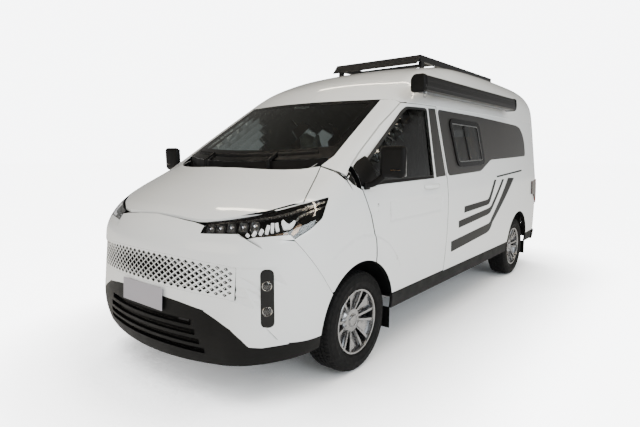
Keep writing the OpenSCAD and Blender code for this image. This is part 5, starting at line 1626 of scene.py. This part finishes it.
@dataclass
class Mirrors:
    """Door mirrors: rounded heads on stout arms, with a repeater lens and mirror glass."""

    paint: Palette
    nodes: dict[str, Obj]
    at: tuple[float, float, float] = (-0.046, 1.165, 1.416)

    def build(self) -> None:
        """Builds both mirrors."""
        for side in Side:
            self.mirror(side)

    def mirror(self, side: Side) -> None:
        """Builds one mirror."""
        s, p = side.value, self.paint
        c = np.array([self.at[0] + AXLE_X, s * self.at[1], self.at[2]])

        def spot(x: float, y: float, z: float) -> Array:
            """Point counted from the middle of the head, outboard positive."""
            return c + np.array([x, s * y, z])

        def bowed(q: Array) -> Array:
            """Rounds the front of the head."""
            d = q - c
            v, w = s * d[:, 1], d[:, 2]
            round_off = 1 - 0.2 * ((v - 0.0125) / 0.092) ** 2 - 0.16 * ((w - 0.004) / 0.102) ** 2
            front = d[:, 0] > 0
            q = q.copy()
            q[front, 0] = c[0] + d[front, 0] * round_off[front]
            q[:, 1] -= s * 0.012 * np.clip(-w / 0.1, 0, 1) ** 2 * (v > 0.0125)
            return q

        y0, y1 = sorted((s * -0.079, s * 0.104))
        head = Forge.block("head", c + [-0.03, y0, -0.098], c + [0.0323, y1, 0.106], p.black, 0.03, 7, bowed)
        skin_y = float(View.side(side)(np.array([[-0.012, 1.272]]))[0, 1])
        foot = np.array([-0.012 + AXLE_X, skin_y + s * 0.02, 1.272])
        t = np.linspace(0, 1, 9)[:, None]
        start, end = spot(-0.004, -0.04, -0.06), foot
        bend = np.array([0.0, 0.0, -0.02]) * (4 * t * (1 - t))
        ring = [(0.022 * math.cos(a), 0.019 * math.sin(a)) for a in np.linspace(0, 2 * math.pi, 20, endpoint=False)]
        arm = Forge.sweep("arm", start + (end - start) * t + bend, ring, p.black, (1, 0, 0), np.linspace(1.0, 0.95, 9))
        f0, f1 = sorted((skin_y + s * 0.0062, skin_y + s * 0.0245))
        base = Forge.block("base", (AXLE_X - 0.042, f0, 1.24), (AXLE_X + 0.014, f1, 1.288), p.black, 0.007, 3)
        Piece.on(Forge.join(f"mirror_shell_{side.tag}", [head, arm, base]), f"door_{side.tag}", "black_plastic",
            f"mirror_{side.tag}")
        g0, g1 = sorted((s * -0.066, s * 0.09))
        glass = Forge.block(f"mirror_glass_{side.tag}", c + [-0.0325, g0, -0.084], c + [-0.0295, g1, 0.092], p.chrome,
            0.0012, 2)
        Piece.on(glass, f"door_{side.tag}", "glass")
        r0, r1 = sorted((s * 0.01, s * 0.08))
        lens = Forge.block(f"repeater_{side.tag}", c + [0.02, r0, -0.052], c + [0.0325, r1, -0.038], p.amber, 0.004,
            3, bowed)
        Piece.on(lens, f"door_{side.tag}", "lamp")


@dataclass
class RoofGear:
    """Fittings of the awning and the roof rack."""

    paint: Palette
    nodes: dict[str, Obj]
    front_x: float = -0.73
    length: float = 2.17
    y: float = 0.985
    z: float = 1.932
    high: float = 0.125

    def build(self) -> None:
        """Adds end caps, rails, the crank boss and the fixings."""
        profile = rounded([(-0.052, 0.0), (0.058, 0.0), (0.066, 0.04), (0.058, self.high), (-0.03, self.high),
            (-0.052, self.high - 0.03)], 0.024, 5)
        for name, x, way in (("front", self.front_x, 1), ("rear", self.front_x - self.length, -1)):
            self.cap(f"awning_cap_{name}", profile, x, way)
        self.rails()
        self.crank()
        self.rack_fixings()

    def cap(self, name: str, profile: Loop, x: float, way: int) -> None:
        """Makes a domed end cap from the cassette's profile.

        Args:
            name: name of the piece.
            profile: outline of the cassette (y, z).
            x: where it ends, from the front axle.
            way: 1 towards the front, -1 towards the rear.
        """
        p = np.array(profile)
        mid = np.array([0.005, 0.062])
        rings = [(0.012, -0.016), (0.0125, 0.004), (0.012, 0.014), (0.009, 0.02), (0.0045, 0.0245), (-0.004, 0.0275)]
        n = len(p)
        verts = []
        for out, along in rings:
            d = p - mid
            size = np.linalg.norm(d, axis=1)[:, None]
            q = mid + d * (1 + (out - 0.0075) / size)
            verts += [(x + AXLE_X + way * along, self.y + u, self.z + v) for u, v in q]
        faces = [(i * n + j, i * n + (j + 1) % n, (i + 1) * n + (j + 1) % n,
            (i + 1) * n + j) for i in range(len(rings) - 1) for j in range(n)]
        faces += [tuple(range(n)), tuple((len(rings) - 1) * n + j for j in range(n))]
        ob = Forge.clean(Forge.mesh(name, np.array(verts), faces, [self.paint.black]), True, 30)
        Piece.on(ob, "van", "black_plastic")

    def rails(self) -> None:
        """Adds the lead rail and the joint line of the lid."""
        x = np.linspace(self.front_x - 0.004, self.front_x - self.length + 0.004, 3) + AXLE_X
        rail = [(-0.006, -0.012), (0.004, -0.012), (0.007, -0.006), (0.007, 0.006), (0.004, 0.012), (-0.006, 0.012)]
        path = np.stack([x, np.full(3, self.y + 0.0625), np.full(3, self.z + 0.022)], -1)
        Piece.on(Forge.sweep("awning_lead_rail", path, rail, self.paint.anodised), "van", "dark_metal")
        line = [(-0.002, -0.0025), (0.0022, -0.0025), (0.0022, 0.0025), (-0.002, 0.0025)]
        path = np.stack([x, np.full(3, self.y + 0.0625), np.full(3, self.z + 0.078)], -1)
        Piece.on(Forge.sweep("awning_lid_line", path, line, self.paint.seal), "van", "black_plastic")

    def crank(self) -> None:
        """Adds the eye for the crank under the front end."""
        at = np.array([self.front_x - 0.055 + AXLE_X, self.y + 0.03, self.z - 0.01])
        a = np.linspace(0, 2 * math.pi, 25)
        ring = [(0.013 + 0.004 * math.cos(t), 0.004 * math.sin(t)) for t in a]
        eye = Forge.lathe("eye", ring, at + [0, 0, -0.014], (1, 0, 0), self.paint.steel, 32)
        boss = Forge.lathe("boss", [(0.0, 0.012), (0.016, 0.012), (0.018, 0.009), (0.018, 0.0), (0.012, -0.004),
            (0.0, -0.004)], at, (0, 0, 1), self.paint.steel, 28)
        Piece.on(Forge.join("awning_crank_eye", [eye, boss]), "van", "steel")

    def rack_fixings(self) -> None:
        """Adds the clamp screws on the rails of the rack."""
        heads = []
        for x in np.linspace(-1.755, -3.595, 6):
            for y in (-0.48, 0.48):
                profile = [(0.0, 0.0058), (0.006, 0.0056), (0.0095, 0.004), (0.0105, 0.0016), (0.0105, -0.002),
                    (0.0, -0.002)]
                heads.append(Forge.lathe("screw", profile, (x + AXLE_X, y, 2.412 - 0.0008), (0, 0, 1),
                    self.paint.steel, 16))
        Piece.on(Forge.join("rack_screws", heads), "van", "steel")


class Upholstery:
    """Stuffs pads by a short cloth simulation."""

    @staticmethod
    def stuff(ob: Obj, voxel: float = 0.011, pressure: float = 4.0, cap: float = 0.016) -> Obj:
        """Swells a closed form like a stuffed cover and keeps the result.

        Args:
            ob: the plain form, a little smaller than the pad.
            voxel: size of the cloth's cells.
            pressure: pressure inside.
            cap: farthest that a point may move.

        Returns:
            The same object with the new mesh.
        """
        Upholstery.apply(ob, "REMESH", mode="VOXEL", voxel_size=voxel)
        rest = np.array([v.co for v in ob.data.vertices])
        scene = bpy.context.scene
        mod = ob.modifiers.new("cloth", "CLOTH")
        mod.settings.use_pressure = True
        mod.settings.uniform_pressure_force = pressure
        mod.settings.effector_weights.gravity = 0
        mod.settings.quality = 5
        for frame in range(1, 19):
            scene.frame_set(frame)
        ev = ob.evaluated_get(bpy.context.evaluated_depsgraph_get())
        soft = np.array([v.co for v in ev.data.vertices])
        ob.modifiers.remove(mod)
        scene.frame_set(1)
        move = soft - rest
        far = np.linalg.norm(move, axis=1, keepdims=True)
        rest = rest + move * np.minimum(1, cap / np.maximum(far, 1e-9))
        ob.data.vertices.foreach_set("co", rest.ravel())
        for f in ob.data.polygons:
            f.use_smooth = True
        return ob

    @staticmethod
    def apply(ob: Obj, kind: str, **values: object) -> None:
        """Adds a modifier, keeps its result as the mesh and removes it."""
        mod = ob.modifiers.new("once", kind)
        for key, value in values.items():
            setattr(mod, key, value)
        mats = list(ob.data.materials)
        made = bpy.data.meshes.new_from_object(ob.evaluated_get(bpy.context.evaluated_depsgraph_get()))
        ob.modifiers.remove(mod)
        ob.data = made
        made.materials.clear()
        for m in mats:
            made.materials.append(m)

    @staticmethod
    def quilt(ob: Obj, lines: Sequence[tuple[Array, float]], depth: float, facing: Array) -> None:
        """Presses sewn channels into the side of a pad that faces a direction.

        Args:
            ob: the pad.
            lines: planes of the seams, as normal and offset.
            depth: depth of the channels.
            facing: direction that the sewn side faces.
        """
        p = np.array([v.co for v in ob.data.vertices])
        n = np.array([v.normal for v in ob.data.vertices])
        front = np.clip((n @ facing - 0.3) / 0.4, 0, 1)
        sink = sum(np.exp(-((p @ np.asarray(a) - d) / 0.011) ** 2) for a, d in lines)
        p = p - (depth * np.clip(sink, 0, 1.2) * front)[:, None] * n
        ob.data.vertices.foreach_set("co", p.ravel())


@dataclass
class Cabin:
    """Seats, dashboard fittings, cabinet fronts, bed and curtains."""

    paint: Palette
    nodes: dict[str, Obj]
    seat_y: float = 0.43
    floor: float = 0.461

    def build(self) -> None:
        """Builds all furnishings."""
        self.seats()
        self.dash()
        self.kitchen()
        self.bed()
        for name, side, near, far in (("camper", Side.LEFT, -1.4, -2.19), ("slide", Side.RIGHT, -1.42, -2.28),
                ("rear", Side.RIGHT, -2.6, -3.41)):
            self.curtains(name, side, near, far)

    def pad(self, name: str, lo: Sequence[float], hi: Sequence[float], mat: Mat,
            shape: Callable[[Array], Array] | None = None,
            bevel: float = 0.035, voxel: float = 0.011, cap: float = 0.016) -> Obj:
        """Makes a stuffed pad from a block, in axes that count x from the front axle."""
        shift = np.array([AXLE_X, 0, 0])
        lo, hi = np.array(lo) + shift, np.array(hi) + shift
        ob = Forge.block(name, lo, hi, mat, bevel, 4, None if shape is None else lambda q: shape(q - shift) + shift)
        return Upholstery.stuff(ob, voxel, 4.0, cap)

    def seats(self) -> None:
        """Builds one seat and repeats it on the other side."""
        p, pads = self.paint, []

        def lean(q: Array) -> Array:
            """Leans and narrows the seat back and raises its sides."""
            t = np.clip((q[:, 2] - 0.862) / 0.59, 0, 1)
            half = 0.062 + (0.047 - 0.062) * t
            q = q.copy()
            q[:, 0] = -0.96 - 0.165 * t + q[:, 0] * half
            q[:, 1] *= 1 - 0.09 * t
            q[:, 0] += 0.022 * np.clip((np.abs(q[:, 1]) - 0.15) / 0.07, 0,
                1) * (q[:, 0] > -0.96 - 0.165 * t) * (1 - 0.5 * t)
            return q

        def tilt(q: Array) -> Array:
            """Leans and narrows the headrest."""
            t = np.clip((q[:, 2] - 1.5) / 0.15, 0, 1)
            q = q.copy()
            q[:, 0] = -1.145 - 0.025 * t + q[:, 0] * (0.037 - 0.009 * t)
            q[:, 1] *= 1 - 0.15 * t
            return q

        def dish(q: Array) -> Array:
            """Raises the sides of the cushion."""
            q = q.copy()
            q[:, 2] += np.where(q[:, 2] > 0.78, 0.016 * np.clip((np.abs(q[:, 1]) - 0.14) / 0.07, 0, 1) - 0.012, 0)
            return q

        cushion = self.pad("seat_cushion_left", (-1.0, -0.23, 0.716), (-0.5, 0.23, 0.842), p.cloth, dish)
        Upholstery.quilt(cushion, [((0, 1, 0), 0.145), ((0, 1, 0), -0.145), ((1, 0, 0), AXLE_X - 0.62),
            ((1, 0, 0), AXLE_X - 0.76)], 0.009, np.array([0, 0, 1.0]))
        back = self.pad("seat_back_left", (-1, -0.225, 0.862), (1, 0.225, 1.452), p.cloth, lean)
        Upholstery.quilt(back, [((0, 1, 0), 0.14), ((0, 1, 0), -0.14), ((0, 0, 1), 1.02), ((0, 0, 1), 1.17),
            ((0, 0, 1), 1.32)], 0.009, np.array([1.0, 0, 0]))
        rest = self.pad("headrest_left", (-1, -0.122, 1.498), (1, 0.122, 1.652), p.pale_cloth, tilt, 0.025, 0.008, 0.01)
        Upholstery.quilt(rest, [((0, 1, 0), 0.07), ((0, 1, 0), -0.07)], 0.005, np.array([1.0, 0, 0]))
        box = Forge.block("seat_base_left", (AXLE_X - 1.0, -0.235, self.floor), (AXLE_X - 0.57, 0.235, 0.7098),
            p.grey, 0.012, 3)
        posts = [Forge.sweep("post", np.array([[AXLE_X - 1.15, y, 1.44], [AXLE_X - 1.153, y, 1.47],
            [AXLE_X - 1.156, y, 1.51]]), circle(0, 0, 0.007, 14), p.chrome, (0, 1, 0)) for y in (-0.045, 0.045)]
        bases = []
        for side in Side:
            for ob in (cushion, back, rest, box, *posts):
                me = ob.data.copy()
                q = np.array([v.co for v in me.vertices]) + [0, side.value * self.seat_y, 0]
                me.vertices.foreach_set("co", q.ravel())
                copy = bpy.data.objects.new(ob.name.replace("left", side.tag), me)
                bpy.context.scene.collection.objects.link(copy)
                (bases if ob in (box, *posts) else pads).append(copy)
        for ob in (cushion, back, rest, box, *posts):
            bpy.data.objects.remove(ob)
        for ob in pads:
            Piece.on(ob, "van", "seat_cloth")
        for i, ob in enumerate(pads):
            ob.name = f"seat_{('cushion', 'back', 'headrest')[i % 3]}_{('left', 'right')[i // 3]}"
        Piece.on(Forge.join("seat_bases", bases), "van", "black_plastic", "seats_front")

    def dash(self) -> None:
        """Adds the instrument hood, the blank screen and the vents."""
        p, x = self.paint, AXLE_X
        hood = Forge.block("instrument_hood", (x - 0.215, 0.29, 1.215), (x - 0.08, 0.57, 1.318), p.black, 0.02, 4)
        Piece.on(hood, "van", "black_plastic")
        screen = Forge.block("dash_screen", (x - 0.262, -0.15, 1.115), (x - 0.243, 0.15, 1.3), p.gloss_black, 0.006,
            3, lambda q: q + np.stack([0.25 * (q[:, 2] - 1.115), 0 * q[:, 0], 0 * q[:, 0]], -1))
        Piece.on(screen, "van", "black_plastic")
        slats = []
        for y in (-0.62, -0.27, 0.2, 0.66):
            for k in range(4):
                z = 1.148 + 0.013 * k
                slats.append(Forge.block("slat", (x - 0.2455 + 0.3 * (z - 1.12), y - 0.05, z),
                    (x - 0.226 + 0.3 * (z - 1.12), y + 0.05, z + 0.005), p.satin, 0.0015, 1))
        Piece.on(Forge.join("dash_vents", slats), "van", "black_plastic")

    def kitchen(self) -> None:
        """Adds doors, worktop and pulls to the cabinets."""
        p, x, z = self.paint, AXLE_X, self.floor
        doors, pulls = [], []
        spans = [(-2.325, -2.04, 0.02, 0.69), (-2.034, -1.748, 0.02, 0.69), (-1.742, -1.455, 0.02, 0.69),
            (-2.745, -2.355, 0.02, 0.6), (-2.745, -2.355, 0.606, 1.17)]
        for a, b, low, high in spans:
            doors.append(Forge.block("front", (x + a, 0.412, z + low), (x + b, 0.4296, z + high), p.timber, 0.003, 2))
            grip = np.array([[x + a + 0.05, 0.4125, z + high - 0.05], [x + a + 0.055, 0.396, z + high - 0.05],
                [x + a + 0.07, 0.39, z + high - 0.05], [x + a + 0.17, 0.39, z + high - 0.05],
                [x + a + 0.185, 0.396, z + high - 0.05], [x + a + 0.19, 0.4125, z + high - 0.05]])
            pulls.append(Forge.sweep("pull", grip, circle(0, 0, 0.005, 12), p.satin))
        Piece.on(Forge.join("cabinet_fronts", doors), "van", "wood")
        Piece.on(Forge.join("cabinet_pulls", pulls), "van", "steel")
        top = Forge.block("worktop", (x - 2.334, 0.405, z + 0.7005), (x - 1.446, 0.905, z + 0.7225), p.lining, 0.006, 3)
        Piece.on(top, "van", "wood")

    def bed(self) -> None:
        """Builds the bed's box and its mattress."""
        p, x = self.paint, AXLE_X
        box = Forge.block("box", (x - 4.184, -0.64, self.floor), (x - 2.8, 0.64, 0.8345), p.timber, 0.006, 2)
        lids = [Forge.block("lid", (x - 2.802, y0, 0.5), (x - 2.786, y0 + 0.6, 0.8), p.timber, 0.003,
            2) for y0 in (-0.615, 0.015)]
        Piece.on(Forge.join("bed_box", [box, *lids]), "van", "wood", "bench_bed")
        mattress = self.pad("mattress", (-4.175, -0.85, 0.841), (-2.81, 0.85, 0.947), p.mattress, None, 0.03, 0.022,
            0.012)
        lines = [((0, 1, 0), y) for y in np.arange(-0.68, 0.7, 0.17)] + [((1, 0, 0),
            AXLE_X + v) for v in np.arange(-4.0, -2.9, 0.19)]
        Upholstery.quilt(mattress, lines, 0.008, np.array([0, 0, 1.0]))
        Piece.on(mattress, "van", "seat_cloth")

    def curtains(self, name: str, side: Side, near: float, far: float) -> None:
        """Hangs a gathered curtain at each end of a window, on a rod.

        Args:
            name: name of the window.
            side: side of the van.
            near: front end of the rod, from the front axle.
            far: rear end of the rod.
        """
        lay, s, carrier = View.side(side), side.value, "sliding_door" if name == "slide" else f"body_side_{side.tag}"
        inside = 0.045 + 0.026
        ends = np.linspace(near + 0.03, far - 0.03, 5)
        wall = lay(np.stack([ends, np.full(5, 1.8)], -1))
        rod = Forge.sweep(f"{name}_curtain_rod", wall - [0, s * inside, 0], circle(0, 0, 0.006, 14), self.paint.satin)
        Piece.on(rod, "van", "steel")
        for end, start, way in (("front", near, -1), ("back", far, 1)):
            u = np.linspace(0, 1, 61)
            v = np.linspace(1.797, 1.335, 22)
            grid = np.zeros((22, 61, 3))
            for i, z in enumerate(v):
                fan = 1 + 0.1 * i / 21
                x = start + way * 0.185 * fan * u
                y = lay(np.stack([x, np.full(61, z)], -1))[:, 1] - s * (
                    inside + 0.013 * (0.6 + 0.4 * i / 21) * np.sin(2 * math.pi * 6.5 * u + 0.4 * np.sin(5 * z)))
                grid[i] = np.stack([x + AXLE_X, y, np.full(61, z)], -1)
            faces = [(i * 61 + j, i * 61 + j + 1, (i + 1) * 61 + j + 1,
                (i + 1) * 61 + j) for i in range(21) for j in range(60)]
            ob = Forge.mesh(f"{name}_curtain_{end}", grid.reshape(-1, 3), faces, [self.paint.curtain])
            Piece.on(ob, "van", "seat_cloth")


FINISH = {"floor_pan": "chassis", "wheel_liners": "black", "battery_pack": "cast", "drive_unit": "cast",
    "front_subframe": "chassis", "rear_axle": "chassis", "knuckle_left": "steel", "knuckle_right": "steel",
    "tyre_front_left": "tyre", "tyre_front_right": "tyre", "tyre_rear_left": "tyre", "tyre_rear_right": "tyre",
    "rim_front_left": "alloy", "rim_front_right": "alloy", "rim_rear_left": "alloy", "rim_rear_right": "alloy",
    "bumper_lower": "black", "headlamps": "gloss_black", "fog_lamps": "gloss_black", "plate_front": "plate",
    "cowl": "black", "windscreen": "screen", "side_windows": "tinted", "door_glass_left": "tinted",
    "door_glass_right": "tinted", "mirror_left": "black", "mirror_right": "black", "rear_glass_left": "dark_glass",
    "rear_glass_right": "dark_glass", "tail_lamps": "red", "rear_bumper": "black", "sill_cladding": "grey",
    "mud_flaps": "black", "awning": "anodised", "roof_rack": "anodised", "seats_front": "cloth", "dashboard": "black",
    "steering_wheel": "black", "cabinets": "timber", "bench_bed": "mattress",}


def main() -> None:
    """Builds the van's looks in order and reports each piece."""
    logging.basicConfig(level=logging.INFO, format="%(message)s")
    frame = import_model()
    nodes = frame["nodes"]
    paint = Palette()
    for name, finish in FINISH.items():
        Piece.dress(nodes[name], getattr(paint, finish))
    Studio().build()
    for part in (BodyShell, Graphics, Glazing, Nose, Headlamps, TailLamps, Wheels, Mirrors, RoofGear, Cabin):
        part(paint, nodes).build()


if __name__ == "__main__":
    main()
